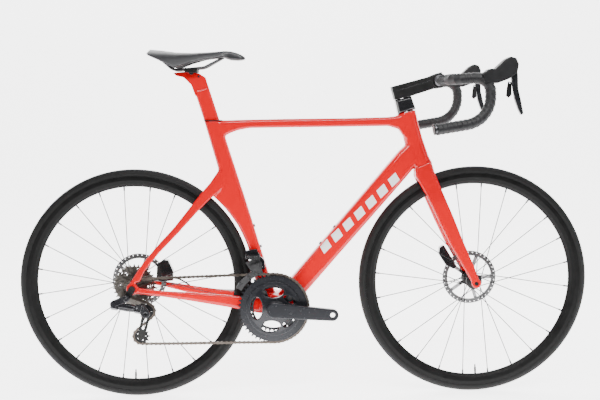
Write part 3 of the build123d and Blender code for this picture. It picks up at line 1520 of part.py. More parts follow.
with BuildPart() as lever_right:
    add(lever_blade(0, 0))
    with BuildSketch(bar_axis_plane_right):
        with Locations(lever_pivot):
            Circle(2.9)
    extrude(amount=20, both=True, mode=Mode.SUBTRACT)
with BuildPart() as hood_right:
    with BuildSketch(bar_axis_plane_right):
        with BuildLine():
            Polyline(*hood_outline, close=True)
        make_face()
    extrude(amount=18, both=True)
    with BuildSketch(bar_axis_plane_right):
        with Locations((100, 6)):
            Circle(19)
    extrude(amount=18, both=True)
    for angle in range(0, lever_swing + 1, 3):
        add(lever_blade(angle, 0.6), mode=Mode.SUBTRACT)
    with BuildSketch(bar_axis_plane_right):
        with Locations(lever_pivot):
            Circle(2.6)
    extrude(amount=16, both=True)
    add(bar_space.part, mode=Mode.SUBTRACT)
    add(bar_tape.part, mode=Mode.SUBTRACT)
with BuildPart() as paddle_right:
    with BuildSketch(bar_plane.offset(lever_y - 10)):
        with BuildLine():
            Polyline(*paddle_outline, close=True)
        make_face()
        with Locations(paddle_pivot):
            Circle(1.4, mode=Mode.SUBTRACT)
    extrude(amount=3)
with BuildPart() as hoods:
    add(hood_right.part)
    mirror(about=Plane.XZ)
finish(hoods, "hoods")
finish(lever_right, "lever_right")
finish(paddle_right, "paddle_right")
with BuildPart() as lever_left:
    mirror(lever_right.part, about=Plane.XZ)
finish(lever_left, "lever_left")
with BuildPart() as paddle_left:
    mirror(paddle_right.part, about=Plane.XZ)
finish(paddle_left, "paddle_left")
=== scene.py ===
import json
import math
import bpy
from mathutils import Matrix, Vector


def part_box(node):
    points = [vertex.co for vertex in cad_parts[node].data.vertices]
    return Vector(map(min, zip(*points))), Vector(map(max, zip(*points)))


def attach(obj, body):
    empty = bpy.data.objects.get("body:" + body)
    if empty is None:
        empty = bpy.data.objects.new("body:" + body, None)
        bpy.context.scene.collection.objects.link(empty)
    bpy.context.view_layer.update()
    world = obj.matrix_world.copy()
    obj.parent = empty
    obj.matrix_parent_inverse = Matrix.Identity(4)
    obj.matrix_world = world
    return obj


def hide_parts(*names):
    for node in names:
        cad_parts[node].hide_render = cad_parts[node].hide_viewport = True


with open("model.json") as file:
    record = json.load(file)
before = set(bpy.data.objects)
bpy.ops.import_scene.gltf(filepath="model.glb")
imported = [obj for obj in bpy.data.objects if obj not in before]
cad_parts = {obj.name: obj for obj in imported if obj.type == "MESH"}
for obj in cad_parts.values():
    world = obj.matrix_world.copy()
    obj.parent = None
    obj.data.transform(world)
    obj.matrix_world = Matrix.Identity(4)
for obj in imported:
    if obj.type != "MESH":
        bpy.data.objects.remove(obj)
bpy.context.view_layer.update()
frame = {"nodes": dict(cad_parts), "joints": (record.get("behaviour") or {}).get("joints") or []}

bpy.ops.object.select_all(action="DESELECT")

def pick_all():
    """Select the whole mesh of the active piece in edit mode."""
    bpy.ops.object.mode_set(mode="EDIT")
    bpy.ops.mesh.select_all(action="SELECT")


# The road bicycle stands on pale studio paper. The paper runs back and curves up
# behind it, so that no edge shows between the floor and the background.
PAPER_HALF = 6.0
PAPER_BACK = 2.6
PAPER_FRONT = 0.9
PAPER_TOP = 5.0
PAPER_BEND = 1.6
PAPER_GLOW = 3.6
bpy.ops.mesh.primitive_plane_add(size=2, location=(0, 0, 0))
paper = bpy.context.object
paper.name = "studio_paper"
paper.scale = (PAPER_HALF, (PAPER_BACK + PAPER_FRONT) / 2, 1)
paper.location = (0, (PAPER_BACK - PAPER_FRONT) / 2, 0)
bpy.ops.object.transform_apply(location=True, rotation=True, scale=True)
bpy.ops.object.mode_set(mode="EDIT")
bpy.ops.mesh.select_all(action="DESELECT")
bpy.ops.object.mode_set(mode="OBJECT")
for edge in paper.data.edges:
    edge.select = all(paper.data.vertices[i].co.y > 0 for i in edge.vertices)
bpy.ops.object.mode_set(mode="EDIT")
bpy.ops.mesh.extrude_region_move(TRANSFORM_OT_translate={"value": (0, 0, PAPER_TOP)})
bpy.ops.mesh.select_all(action="DESELECT")
bpy.ops.object.mode_set(mode="OBJECT")
for edge in paper.data.edges:
    ends = [paper.data.vertices[i].co for i in edge.vertices]
    edge.select = all(end.y > 0 and end.z < 0.01 for end in ends)
bpy.ops.object.mode_set(mode="EDIT")
bpy.ops.mesh.bevel(offset=PAPER_BEND, segments=16, affect="EDGES")
bpy.ops.mesh.select_all(action="SELECT")
bpy.ops.mesh.normals_make_consistent(inside=False)
bpy.ops.object.mode_set(mode="OBJECT")
if sum(face.normal.z * face.area for face in paper.data.polygons) < 0:
    pick_all()
    bpy.ops.mesh.flip_normals()
    bpy.ops.object.mode_set(mode="OBJECT")
bpy.ops.object.shade_smooth()


def new_material(name):
    """An empty node material with its shader and output joined."""
    material = bpy.data.materials.new(name)
    material.use_nodes = True
    return material, material.node_tree, material.node_tree.nodes["Principled BSDF"]


paper_finish, tree, shader = new_material("studio_paper")
grain = tree.nodes.new("ShaderNodeTexNoise")
grain.inputs["Scale"].default_value = 3.0
tone = tree.nodes.new("ShaderNodeMapRange")
tone.inputs["To Min"].default_value = 0.86
tone.inputs["To Max"].default_value = 0.9
tree.links.new(grain.outputs["Fac"], tone.inputs["Value"])
tree.links.new(tone.outputs["Result"], shader.inputs["Base Color"])
shader.inputs["Roughness"].default_value = 0.85
shader.inputs["Specular IOR Level"].default_value = 0.0
shader.inputs["Emission Color"].default_value = (1, 1, 1, 1)
shader.inputs["Emission Strength"].default_value = PAPER_GLOW
facing = tree.nodes.new("ShaderNodeNewGeometry")
front_only = tree.nodes.new("ShaderNodeMath")
front_only.operation = "SUBTRACT"
front_only.inputs[0].default_value = 1.0
tree.links.new(facing.outputs["Backfacing"], front_only.inputs[1])
tree.links.new(front_only.outputs["Value"], shader.inputs["Alpha"])
paper.data.materials.append(paper_finish)

# The camera stands three quarters of a metre above the axles, square to the drive side
# and a little forward of the middle, with a normal lens.
CAMERA_PLACE = (-0.0742, -2.4414, 0.8527)
CAMERA_TURN = (-0.02493, -0.11141, 0.00710)
camera_data = bpy.data.cameras.new("camera")
camera_data.lens = 50.52
camera_data.sensor_width = 36.0
camera = bpy.data.objects.new("camera", camera_data)
bpy.context.collection.objects.link(camera)
yaw, pitch, roll = CAMERA_TURN
turn = (
    Matrix.Rotation(yaw, 4, "Z")
    @ Matrix.Rotation(pitch, 4, "X")
    @ Matrix.Rotation(roll, 4, "Y")
    @ Matrix.Rotation(math.pi / 2, 4, "X")
)
camera.matrix_world = Matrix.Translation(CAMERA_PLACE) @ turn
bpy.context.scene.camera = camera

# Large soft boxes light it from above, from behind the camera and from both ends, and
# the world gives an even white fill.
world = bpy.data.worlds.new("studio")
world.use_nodes = True
world.node_tree.nodes["Background"].inputs["Color"].default_value = (1, 1, 1, 1)
world.node_tree.nodes["Background"].inputs["Strength"].default_value = 0.06
bpy.context.scene.world = world


def soft_box(name, place, aim, width, height, power):
    """A rectangular studio light aimed at a point."""
    data = bpy.data.lights.new(name, "AREA")
    data.shape = "RECTANGLE"
    data.size = width
    data.size_y = height
    data.energy = power
    lamp = bpy.data.objects.new(name, data)
    bpy.context.collection.objects.link(lamp)
    lamp.location = place
    lamp.rotation_euler = (Vector(aim) - Vector(place)).to_track_quat("-Z", "Y").to_euler()


soft_box("top_box", (0.0, -0.6, 3.0), (0, 0, 0.4), 3.4, 1.2, 30)
soft_box("front_box", (0.3, -3.2, 3.0), (0, 0, 0.5), 3.6, 1.0, 60)
soft_box("left_box", (-3.0, -1.8, 1.4), (0, 0, 0.6), 0.5, 2.2, 12)
soft_box("right_box", (3.0, -1.6, 1.5), (0, 0, 0.6), 0.5, 2.2, 12)
soft_box("strip_box", (0.2, -1.7, 2.5), (0, 0, 0.6), 3.0, 0.12, 60)
soft_box("back_box", (0.0, 2.0, 2.6), (0, 0, 0.5), 3.0, 0.8, 8)


# The carbon frame is one moulding: aerofoil seat tube cut round the rear wheel, flat-sided
# down tube, level top tube, head tube, and stays that grow out of the seat tube. Its
# joints are filleted and it is painted over in one coat.
def add_socket(group, name, direction, kind, value=None):
    """One named input or output of a shader node group."""
    socket = group.interface.new_socket(name=name, in_out=direction, socket_type=kind)
    if value is not None:
        socket.default_value = value
    return socket


# Fine unevenness that every finish has: a cloudy change of tone and roughness and a
# small relief, at a scale given in features per metre.
unevenness = bpy.data.node_groups.new("unevenness", "ShaderNodeTree")
add_socket(unevenness, "Tone", "INPUT", "NodeSocketColor")
add_socket(unevenness, "Second Tone", "INPUT", "NodeSocketColor")
add_socket(unevenness, "Scale", "INPUT", "NodeSocketFloat", 200.0)
add_socket(unevenness, "Stretch", "INPUT", "NodeSocketVector", (1, 1, 1))
add_socket(unevenness, "Smoothest", "INPUT", "NodeSocketFloat", 0.3)
add_socket(unevenness, "Roughest", "INPUT", "NodeSocketFloat", 0.5)
add_socket(unevenness, "Relief", "INPUT", "NodeSocketFloat", 0.1)
add_socket(unevenness, "Depth", "INPUT", "NodeSocketFloat", 0.0002)
add_socket(unevenness, "Color", "OUTPUT", "NodeSocketColor")
add_socket(unevenness, "Roughness", "OUTPUT", "NodeSocketFloat")
add_socket(unevenness, "Normal", "OUTPUT", "NodeSocketVector")
nodes, links = unevenness.nodes, unevenness.links
entry = nodes.new("NodeGroupInput")
leave = nodes.new("NodeGroupOutput")
place = nodes.new("ShaderNodeTexCoord")
stretch = nodes.new("ShaderNodeVectorMath")
stretch.operation = "MULTIPLY"
cloud = nodes.new("ShaderNodeTexNoise")
cloud.inputs["Detail"].default_value = 5.0
fine = nodes.new("ShaderNodeTexNoise")
fine.inputs["Detail"].default_value = 2.0
slower = nodes.new("ShaderNodeMath")
slower.operation = "MULTIPLY"
slower.inputs[1].default_value = 0.06
blend_tone = nodes.new("ShaderNodeMix")
blend_tone.data_type = "RGBA"
roughness = nodes.new("ShaderNodeMapRange")
roughness.inputs["From Min"].default_value = 0.3
roughness.inputs["From Max"].default_value = 0.7
relief = nodes.new("ShaderNodeBump")
links.new(place.outputs["Object"], stretch.inputs[0])
links.new(entry.outputs["Stretch"], stretch.inputs[1])
links.new(stretch.outputs["Vector"], cloud.inputs["Vector"])
links.new(stretch.outputs["Vector"], fine.inputs["Vector"])
links.new(entry.outputs["Scale"], fine.inputs["Scale"])
links.new(entry.outputs["Scale"], slower.inputs[0])
links.new(slower.outputs["Value"], cloud.inputs["Scale"])
links.new(cloud.outputs["Fac"], blend_tone.inputs["Factor"])
links.new(entry.outputs["Tone"], blend_tone.inputs["A"])
links.new(entry.outputs["Second Tone"], blend_tone.inputs["B"])
links.new(cloud.outputs["Fac"], roughness.inputs["Value"])
links.new(entry.outputs["Smoothest"], roughness.inputs["To Min"])
links.new(entry.outputs["Roughest"], roughness.inputs["To Max"])
links.new(fine.outputs["Fac"], relief.inputs["Height"])
links.new(entry.outputs["Relief"], relief.inputs["Strength"])
links.new(entry.outputs["Depth"], relief.inputs["Distance"])
links.new(blend_tone.outputs["Result"], leave.inputs["Color"])
links.new(roughness.outputs["Result"], leave.inputs["Roughness"])
links.new(relief.outputs["Normal"], leave.inputs["Normal"])


def uneven_finish(
    name, tone, second, smooth, rough, scale, depth,
    metal=0.0, coat=0.0, stretch=(1, 1, 1), relief=0.5, gloss=0.5,
):
    """A finish made from the unevenness group, with its own tones, gloss and relief."""
    material, tree, shader = new_material(name)
    group = tree.nodes.new("ShaderNodeGroup")
    group.node_tree = unevenness
    group.inputs["Tone"].default_value = (*tone, 1)
    group.inputs["Second Tone"].default_value = (*second, 1)
    group.inputs["Scale"].default_value = scale
    group.inputs["Stretch"].default_value = stretch
    group.inputs["Smoothest"].default_value = smooth
    group.inputs["Roughest"].default_value = rough
    group.inputs["Relief"].default_value = relief
    group.inputs["Depth"].default_value = depth
    tree.links.new(group.outputs["Color"], shader.inputs["Base Color"])
    tree.links.new(group.outputs["Roughness"], shader.inputs["Roughness"])
    tree.links.new(group.outputs["Normal"], shader.inputs["Normal"])
    shader.inputs["Metallic"].default_value = metal
    shader.inputs["Specular IOR Level"].default_value = gloss
    shader.inputs["Coat Weight"].default_value = coat
    shader.inputs["Coat Roughness"].default_value = 0.06
    return material


def give_finish(material, *names):
    """Put a finish on CAD nodes in place of their plain one."""
    for name in names:
        node = frame["nodes"][name]
        node.data.materials.clear()
        node.data.materials.append(material)


red_paint = uneven_finish(
    "red_paint", (0.70, 0.0, 0.006), (0.64, 0.0, 0.005), 0.24, 0.32, 900, 0.00003,
    coat=0.9, relief=0.12, gloss=0.0,
)
give_finish(red_paint, "head_tube", "top_tube", "down_tube", "seat_tube", "chainstays", "seatstays")
JOINTS = {joint["name"]: joint for joint in frame["joints"]}


def joint_place(name):
    """Where a joint's axis passes, in metres."""
    return Vector(JOINTS[name]["pos_m"])


rear_hub = joint_place("rear_wheel_spin")
front_hub = joint_place("front_wheel_spin")
bottom_bracket = joint_place("crank_spin")
head_foot = joint_place("steering_turn")
head_line = Vector(JOINTS["steering_turn"]["axis"])
MM = 0.001


def side(ahead, up, out=0.0):
    """A point in millimetres ahead of the rear axle, above the ground and out from the middle."""
    return Vector((rear_hub.x + ahead * MM, out * MM, up * MM))


def ring(centre, depth_way, normal, width, depth, corner, steps=4):
    """A closed loop of edges: a rounded rectangle laid across a tube."""
    bpy.ops.mesh.primitive_plane_add(size=1, location=(0, 0, 0))
    loop = bpy.context.object
    pick_all()
    bpy.ops.transform.resize(value=(width, depth, 1))
    bpy.ops.mesh.bevel(offset=corner, segments=steps, affect="VERTICES")
    bpy.ops.mesh.delete(type="ONLY_FACE")
    bpy.ops.object.mode_set(mode="OBJECT")
    normal = normal.normalized()
    depth_way = (depth_way - normal * depth_way.dot(normal)).normalized()
    across = depth_way.cross(normal)
    loop.matrix_world = Matrix.Translation(centre) @ Matrix((across, depth_way, normal)).transposed().to_4x4()
    bpy.ops.object.transform_apply(location=True, rotation=True, scale=True)
    return loop


def join_all(name, parts):
    """Join several meshes into one named piece and leave it active."""
    bpy.ops.object.select_all(action="DESELECT")
    for part in parts:
        part.select_set(True)
    bpy.context.view_layer.objects.active = parts[0]
    if len(parts) > 1:
        bpy.ops.object.join()
    parts[0].name = name
    return parts[0]


def skin(name, loops):
    """Bridge loops one after another into a closed tube, with its ends filled."""
    for number, loop in enumerate(loops):
        group = loop.vertex_groups.new(name=f"loop_{number}")
        group.add(range(len(loop.data.vertices)), 1.0, "REPLACE")
    piece = join_all(name, loops)
    bpy.ops.object.mode_set(mode="EDIT")
    for number in range(len(loops) - 1):
        bpy.ops.mesh.select_all(action="DESELECT")
        for group in (f"loop_{number}", f"loop_{number + 1}"):
            piece.vertex_groups.active = piece.vertex_groups[group]
            bpy.ops.object.vertex_group_select()
        bpy.ops.mesh.bridge_edge_loops()
    for group in ("loop_0", f"loop_{len(loops) - 1}"):
        bpy.ops.mesh.select_all(action="DESELECT")
        piece.vertex_groups.active = piece.vertex_groups[group]
        bpy.ops.object.vertex_group_select()
        bpy.ops.mesh.edge_face_add()
    bpy.ops.mesh.select_all(action="SELECT")
    bpy.ops.mesh.normals_make_consistent(inside=False)
    bpy.ops.object.mode_set(mode="OBJECT")
    piece.vertex_groups.clear()
    return piece


def edge_tube(name, stations, out=0.0):
    """A tube from the two edges seen from the side: each station is rear, front, width, corner."""
    loops = []
    middles = [(Vector(s[0]) + Vector(s[1])) / 2 for s in stations]
    for number, (first, second, width, corner, *place) in enumerate(stations):
        a, b = side(*first), side(*second)
        out_here = (place[0] if place else out) * MM
        a.y = b.y = out_here
        before = middles[max(number - 1, 0)]
        after = middles[min(number + 1, len(stations) - 1)]
        run = Vector((after[0] - before[0], 0, after[1] - before[1]))
        across = b - a
        normal = Vector((across.z, 0, -across.x))
        if normal.dot(run) < 0:
            normal = -normal
        loops.append(ring((a + b) / 2, across, normal, width * MM, across.length, corner * MM))
    return skin(name, loops)


def mirrored(piece, name):
    """The same piece on the other side of the bicycle."""
    other = piece.copy()
    other.data = piece.data.copy()
    other.name = name
    bpy.context.collection.objects.link(other)
    bpy.ops.object.select_all(action="DESELECT")
    other.select_set(True)
    bpy.context.view_layer.objects.active = other
    pick_all()
    bpy.ops.transform.mirror(
        constraint_axis=(False, True, False), orient_type="GLOBAL", center_override=(0, 0, 0)
    )
    bpy.ops.mesh.select_all(action="SELECT")
    bpy.ops.mesh.normals_make_consistent(inside=False)
    bpy.ops.object.mode_set(mode="OBJECT")
    return other


def melt(piece, voxel, smooth_steps, smooth=0.5):
    """Fuse overlapping shells into one skin and soften the places where they meet."""
    bpy.ops.object.select_all(action="DESELECT")
    piece.select_set(True)
    bpy.context.view_layer.objects.active = piece
    fused = piece.modifiers.new("fused", "REMESH")
    fused.mode = "VOXEL"
    fused.voxel_size = voxel
    bpy.ops.object.modifier_apply(modifier=fused.name)
    soft = piece.modifiers.new("soft", "SMOOTH")
    soft.factor = smooth
    soft.iterations = smooth_steps
    bpy.ops.object.modifier_apply(modifier=soft.name)
    bpy.ops.object.shade_smooth()
    return piece


def cut_round(piece, centre, radius, width):
    """Cut a disc-shaped space, such as a wheel's, out of a piece."""
    bpy.ops.object.select_all(action="DESELECT")
    bpy.ops.mesh.primitive_cylinder_add(
        radius=radius * MM, depth=width * MM, vertices=128, location=centre, rotation=(math.pi / 2, 0, 0)
    )
    cutter = bpy.context.object
    bpy.ops.object.select_all(action="DESELECT")
    bpy.context.view_layer.objects.active = piece
    piece.select_set(True)
    space = piece.modifiers.new("space", "BOOLEAN")
    space.operation = "DIFFERENCE"
    space.object = cutter
    bpy.ops.object.modifier_apply(modifier=space.name)
    bpy.data.objects.remove(cutter)
    return piece


def dress(piece, finish, body, *nodes, slot=None):
    """Give a finished piece its material, the CAD body it moves with and the nodes it stands for."""
    piece.data.materials.clear()
    piece.data.materials.append(finish)
    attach(piece, body)
    if nodes:
        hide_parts(*nodes)
    return piece


BLOCK_START = side(544, 435)
BLOCK_END = side(776, 661)
BLOCK_COUNT = 7
BLOCK_PITCH = 0.046
BLOCK_SHARE = 0.66
BLOCK_HALF = 0.0125
BLOCK_SLANT = 0.25
BLOCK_SIDE = 0.02
BLOCK_GAP = 0.002
BLOCK_WHITE = (0.95, 0.95, 0.95, 1)


def maths(tree, operation, first, second=None):
    """One sum in a material; an input is a socket or a plain number."""
    node = tree.nodes.new("ShaderNodeMath")
    node.operation = operation
    for index, value in enumerate((first, second)):
        if isinstance(value, (int, float)):
            node.inputs[index].default_value = value
        elif value is not None:
            tree.links.new(value, node.inputs[index])
    return node.outputs["Value"]


def along(tree, start, way):
    """How far a point of the piece lies from a start along a direction, in metres."""
    place = tree.nodes.new("ShaderNodeTexCoord")
    offset = tree.nodes.new("ShaderNodeVectorMath")
    offset.operation = "SUBTRACT"
    offset.inputs[1].default_value = start
    reach = tree.nodes.new("ShaderNodeVectorMath")
    reach.operation = "DOT_PRODUCT"
    reach.inputs[1].default_value = way
    tree.links.new(place.outputs["Object"], offset.inputs[0])
    tree.links.new(offset.outputs["Vector"], reach.inputs[0])
    return reach.outputs["Value"]


frame_paint = red_paint.copy()
frame_paint.name = "frame_paint"
tree = frame_paint.node_tree
block_way = (BLOCK_END - BLOCK_START).normalized()
block_up = Vector((-block_way.z, 0, block_way.x))
forward = along(tree, BLOCK_START, block_way)
upward = along(tree, BLOCK_START, block_up)
sideways = maths(tree, "ABSOLUTE", along(tree, Vector((0, 0, 0)), Vector((0, 1, 0))))
leaned = maths(tree, "SUBTRACT", forward, maths(tree, "MULTIPLY", upward, BLOCK_SLANT))
step = maths(tree, "FRACT", maths(tree, "DIVIDE", leaned, BLOCK_PITCH))
inside = maths(tree, "LESS_THAN", step, BLOCK_SHARE)
for limit in (
    maths(tree, "LESS_THAN", maths(tree, "ABSOLUTE", upward), BLOCK_HALF),
    maths(tree, "GREATER_THAN", leaned, 0.0),
    maths(tree, "LESS_THAN", leaned, BLOCK_COUNT * BLOCK_PITCH - BLOCK_GAP),
    maths(tree, "GREATER_THAN", sideways, BLOCK_SIDE),
):
    inside = maths(tree, "MULTIPLY", inside, limit)
coat = tree.nodes["Principled BSDF"].inputs["Base Color"].links[0].from_socket
paint_mix = tree.nodes.new("ShaderNodeMix")
paint_mix.data_type = "RGBA"
paint_mix.inputs["B"].default_value = BLOCK_WHITE
tree.links.new(inside, paint_mix.inputs["Factor"])
tree.links.new(coat, paint_mix.inputs["A"])
tree.links.new(paint_mix.outputs["Result"], tree.nodes["Principled BSDF"].inputs["Base Color"])

seat_tube_loops = [
    ((207.5, 811), (254, 812), 31, 11),
    ((221.1, 760.6), (269.2, 760.6), 33, 13),
    ((233, 718), (282.3, 718), 34, 14),
    ((245.3, 673.5), (296, 673.5), 35, 14),
    ((240, 642), (305.5, 642), 36, 14),
    ((222, 612), (315, 612), 36, 14),
    ((232, 586), (323, 586), 36, 14),
    ((264.3, 556), (333, 553), 36, 14),
    ((298.8, 509.5), (347, 505), 36, 14),
    ((324.2, 455), (363, 450), 36, 14),
    ((338, 410), (376, 406), 38, 14),
    ((345, 360), (391, 356), 46, 15),
    ((357, 310), (408, 306), 62, 18),
    ((367, 272), (430, 268), 78, 18),
]
down_tube_loops = [
    ((792, 740), (838, 700), 42, 13),
    ((771.5, 722), (817, 676), 46, 14),
    ((746, 692.5), (793, 647), 50, 14),
    ((525.1, 433.4), (572, 394), 50, 14),
    ((455.4, 352.1), (500, 311), 54, 15),
    ((425, 318), (466, 270), 66, 17),
    ((400, 292), (436, 243), 78, 17),
]
top_tube_loops = [
    ((240, 806), (262, 765), 29, 9),
    ((262, 813), (281, 775), 34, 10),
    ((300, 813.8), (304, 783.5), 38, 10),
    ((337, 814.5), (337.5, 789.6), 40, 9),
    ((437.8, 815.9), (437.6, 790.4), 40, 9),
    ((616.3, 816.5), (616, 791.6), 40, 9),
    ((738.4, 818.9), (738.5, 792.6), 40, 9),
    ((759, 821.3), (768, 783), 40, 10),
    ((777, 828), (786, 757), 40, 11),
    ((797, 820), (800, 745), 36, 11),
]
head_tube_loops = [
    ((812.4, 668.2), (870.2, 682.3), 51, 24),
    ((804, 690), (858, 704), 47, 22),
    ((787, 741), (840, 754), 41, 19),
    ((776, 783), (828, 795), 41, 19),
    ((766.2, 826.8), (817.2, 838.9), 43.5, 20),
]
SHELL_RADIUS = 38.0
SHELL_WIDTH = 83.6
STAY_SINK = 3.0
STAY_CORNER = 0.42
EAR_RADIUS = 17.0
EAR_THICK = 8.0
EAR_OUT = 75.0
FRAME_GRAIN = 0.0024
WHEEL_SPACE = 345.0
REAR_SPACE_WIDTH = 34.0
stay_drop = bottom_bracket.z - rear_hub.z
stay_reach = bottom_bracket.x - rear_hub.x
chainstay_loops = [
    (0.03, 74.5, 7, 18),
    (0.20, 63.8, 11, 17),
    (0.40, 46.0, 16, 25),
    (0.72, 28.0, 15, 38),
    (0.92, 26.0, 18, 46),
]
seatstay_loops = [
    ((-6, 354), (22, 358), 8.5, 3.4, 75),
    ((10, 380), (35, 386), 9.5, 3.8, 70),
    ((30.3, 410.2), (47, 402), 10, 4, 64),
    ((61.8, 447.5), (77, 437), 11, 4.4, 54.5),
    ((115.3, 504.2), (133, 494), 11, 4.4, 40.5),
    ((160, 560), (181, 546), 11.5, 4.6, 29.5),
    ((191.1, 598.4), (216, 582), 12, 4.8, 23.5),
    ((222, 634), (252, 612), 13, 5, 17),
    ((246, 668), (270, 640), 15, 6, 10),
]


def stay_pair():
    """Both chainstays with their dropouts."""
    loops = []
    for share, out, width, depth in chainstay_loops:
        centre = rear_hub + Vector((share * stay_reach, -out * MM, share * stay_drop - STAY_SINK * MM))
        run = Vector((stay_reach, 0, stay_drop))
        corner = width * STAY_CORNER * MM
        loops.append(ring(centre, Vector((0, 0, 1)), run, width * MM, depth * MM, corner))
    stay = skin("chainstay_right", loops)
    bpy.ops.mesh.primitive_cylinder_add(
        radius=EAR_RADIUS * MM, depth=EAR_THICK * MM, vertices=48,
        location=rear_hub - Vector((0, EAR_OUT * MM, 0)), rotation=(math.pi / 2, 0, 0),
    )
    ear = bpy.context.object
    bpy.ops.object.transform_apply(location=True, rotation=True, scale=True)
    stay = join_all("chainstay_right", [stay, ear])
    return [stay, mirrored(stay, "chainstay_left")]


frame_parts = [
    edge_tube("seat_part", seat_tube_loops),
    edge_tube("down_part", down_tube_loops),
    edge_tube("top_part", top_tube_loops),
    edge_tube("head_part", head_tube_loops),
]
seatstay = edge_tube("seatstay_part", [(a, b, w, c, -y) for a, b, w, c, y in seatstay_loops])
frame_parts += [seatstay, mirrored(seatstay, "seatstay_left")]
frame_parts += stay_pair()
bpy.ops.mesh.primitive_cylinder_add(
    radius=SHELL_RADIUS * MM, depth=SHELL_WIDTH * MM, vertices=64, location=bottom_bracket,
    rotation=(math.pi / 2, 0, 0),
)
bpy.ops.object.transform_apply(location=True, rotation=True, scale=True)
frame_parts.append(bpy.context.object)
frame_skin = melt(join_all("frame_moulding", frame_parts), FRAME_GRAIN, 0)
cut_round(frame_skin, rear_hub, WHEEL_SPACE, REAR_SPACE_WIDTH)
melt(frame_skin, FRAME_GRAIN, 4)
dress(
    frame_skin, frame_paint, "frame",
    "head_tube", "top_tube", "down_tube", "seat_tube", "chainstays", "seatstays", slot="red_paint",
)

# Small parts of other makes are fixed in the frame: pressed-in steel bearings, bolts for two
# bottle cages, a rubber cover round the seatpost, the brake's hose and the black rear axle.
steel = uneven_finish(
    "bright_steel", (0.36, 0.36, 0.36), (0.42, 0.42, 0.43), 0.26, 0.36, 900, 0.00003, metal=1.0
)
dark_steel = uneven_finish(
    "dark_steel", (0.03, 0.03, 0.032), (0.07, 0.07, 0.072), 0.3, 0.5, 600, 0.00005, metal=0.6
)
rubber = uneven_finish(
    "rubber", (0.007, 0.007, 0.007), (0.012, 0.012, 0.012), 0.5, 0.68, 1400, 0.00008,
    relief=0.6, gloss=0.2,
)
satin_black = uneven_finish(
    "satin_black", (0.008, 0.008, 0.008), (0.014, 0.014, 0.014), 0.34, 0.5, 700, 0.00005, gloss=0.25
)
give_finish(steel, "bearings")
give_finish(dark_steel, "bottle_bolts")
give_finish(rubber, "seat_clamp", "rear_hose")
give_finish(satin_black, "rear_axle", "derailleur_hanger")

# The fork is moulded in one: a crown the width of the head tube that flows into two deep
# legs, which clear the tyre and end at the axle.
FORK_GRAIN = 0.0022
FRONT_SPACE_WIDTH = 40.0
TIP_RADIUS = 14.0
TIP_THICK = 10.0
TIP_OUT = 55.0
leg_loops = [
    # share of the way down, ahead and out from the line, width, depth, corner
    (-0.02, 2, 15, 22, 50, 9),
    (0.045, -5, 20, 24, 56, 10),
    (0.13, -5, 29, 21, 52, 9),
    (0.24, -4, 35, 17, 47, 7.5),
    (0.45, -4, 41, 15, 45, 6.8),
    (0.65, -4, 47, 13, 39, 5.8),
    (0.88, 0, 53, 11, 29, 4.8),
    (1.0, 0, 55.0, 10, 22, 4.2),
]
fork_run = Vector((front_hub.x - head_foot.x, 0, front_hub.z - head_foot.z))
fork_ahead = Vector((-fork_run.z, 0, fork_run.x)).normalized()
leg = skin(
    "leg_right",
    [
        ring(
            head_foot + fork_run * share + fork_ahead * (ahead * MM) - Vector((0, out * MM, 0)),
            fork_ahead, fork_run, width * MM, depth * MM, corner * MM,
        )
        for share, ahead, out, width, depth, corner in leg_loops
    ],
)
bpy.ops.mesh.primitive_cylinder_add(
    radius=TIP_RADIUS * MM, depth=TIP_THICK * MM, vertices=48,
    location=front_hub - Vector((0, TIP_OUT * MM, 0)), rotation=(math.pi / 2, 0, 0),
)
bpy.ops.object.transform_apply(location=True, rotation=True, scale=True)
leg = join_all("leg_right", [leg, bpy.context.object])
head_ahead = Vector((head_line.z, 0, -head_line.x))
# above the foot of the head tube, width, depth, corner
crown_loops = [(-0.8, 52, 58.5, 25), (-12, 54, 59, 25), (-26, 59, 58, 25), (-36, 62, 54, 24)]
crown = skin(
    "crown",
    [
        ring(head_foot + head_line * (up * MM), head_ahead, head_line, wide * MM, deep * MM, corner * MM)
        for up, wide, deep, corner in crown_loops
    ],
)
fork_skin = join_all("fork_moulding", [crown, leg, mirrored(leg, "leg_left")])
melt(fork_skin, FORK_GRAIN, 0)
cut_round(fork_skin, front_hub, WHEEL_SPACE, FRONT_SPACE_WIDTH)
melt(fork_skin, FORK_GRAIN, 4)
dress(fork_skin, red_paint, "steering", "fork", slot="red_paint")
give_finish(red_paint, "fork")
give_finish(satin_black, "front_axle")

# The seatpost is a carbon aerofoil with a layback head, painted with the frame. It slides
# in the seat tube under a black rubber cover.
def softened(name, nodes, voxel, steps, finish, body, smooth=0.5, slot=None, extra=()):
    """A piece cast or moulded to the same form as CAD nodes, with soft edges all round."""
    copies = []
    for node in nodes:
        mesh = frame["nodes"][node].data.copy()
        mesh.materials.clear()
        copy = bpy.data.objects.new(name, mesh)
        bpy.context.collection.objects.link(copy)
        copies.append(copy)
    piece = join_all(name, copies + list(extra))
    pick_all()
    bpy.ops.mesh.remove_doubles(threshold=0.00001)
    bpy.ops.mesh.normals_make_consistent(inside=False)
    bpy.ops.object.mode_set(mode="OBJECT")
    melt(piece, voxel, steps, smooth)
    return dress(piece, finish, body, *nodes, slot=slot)


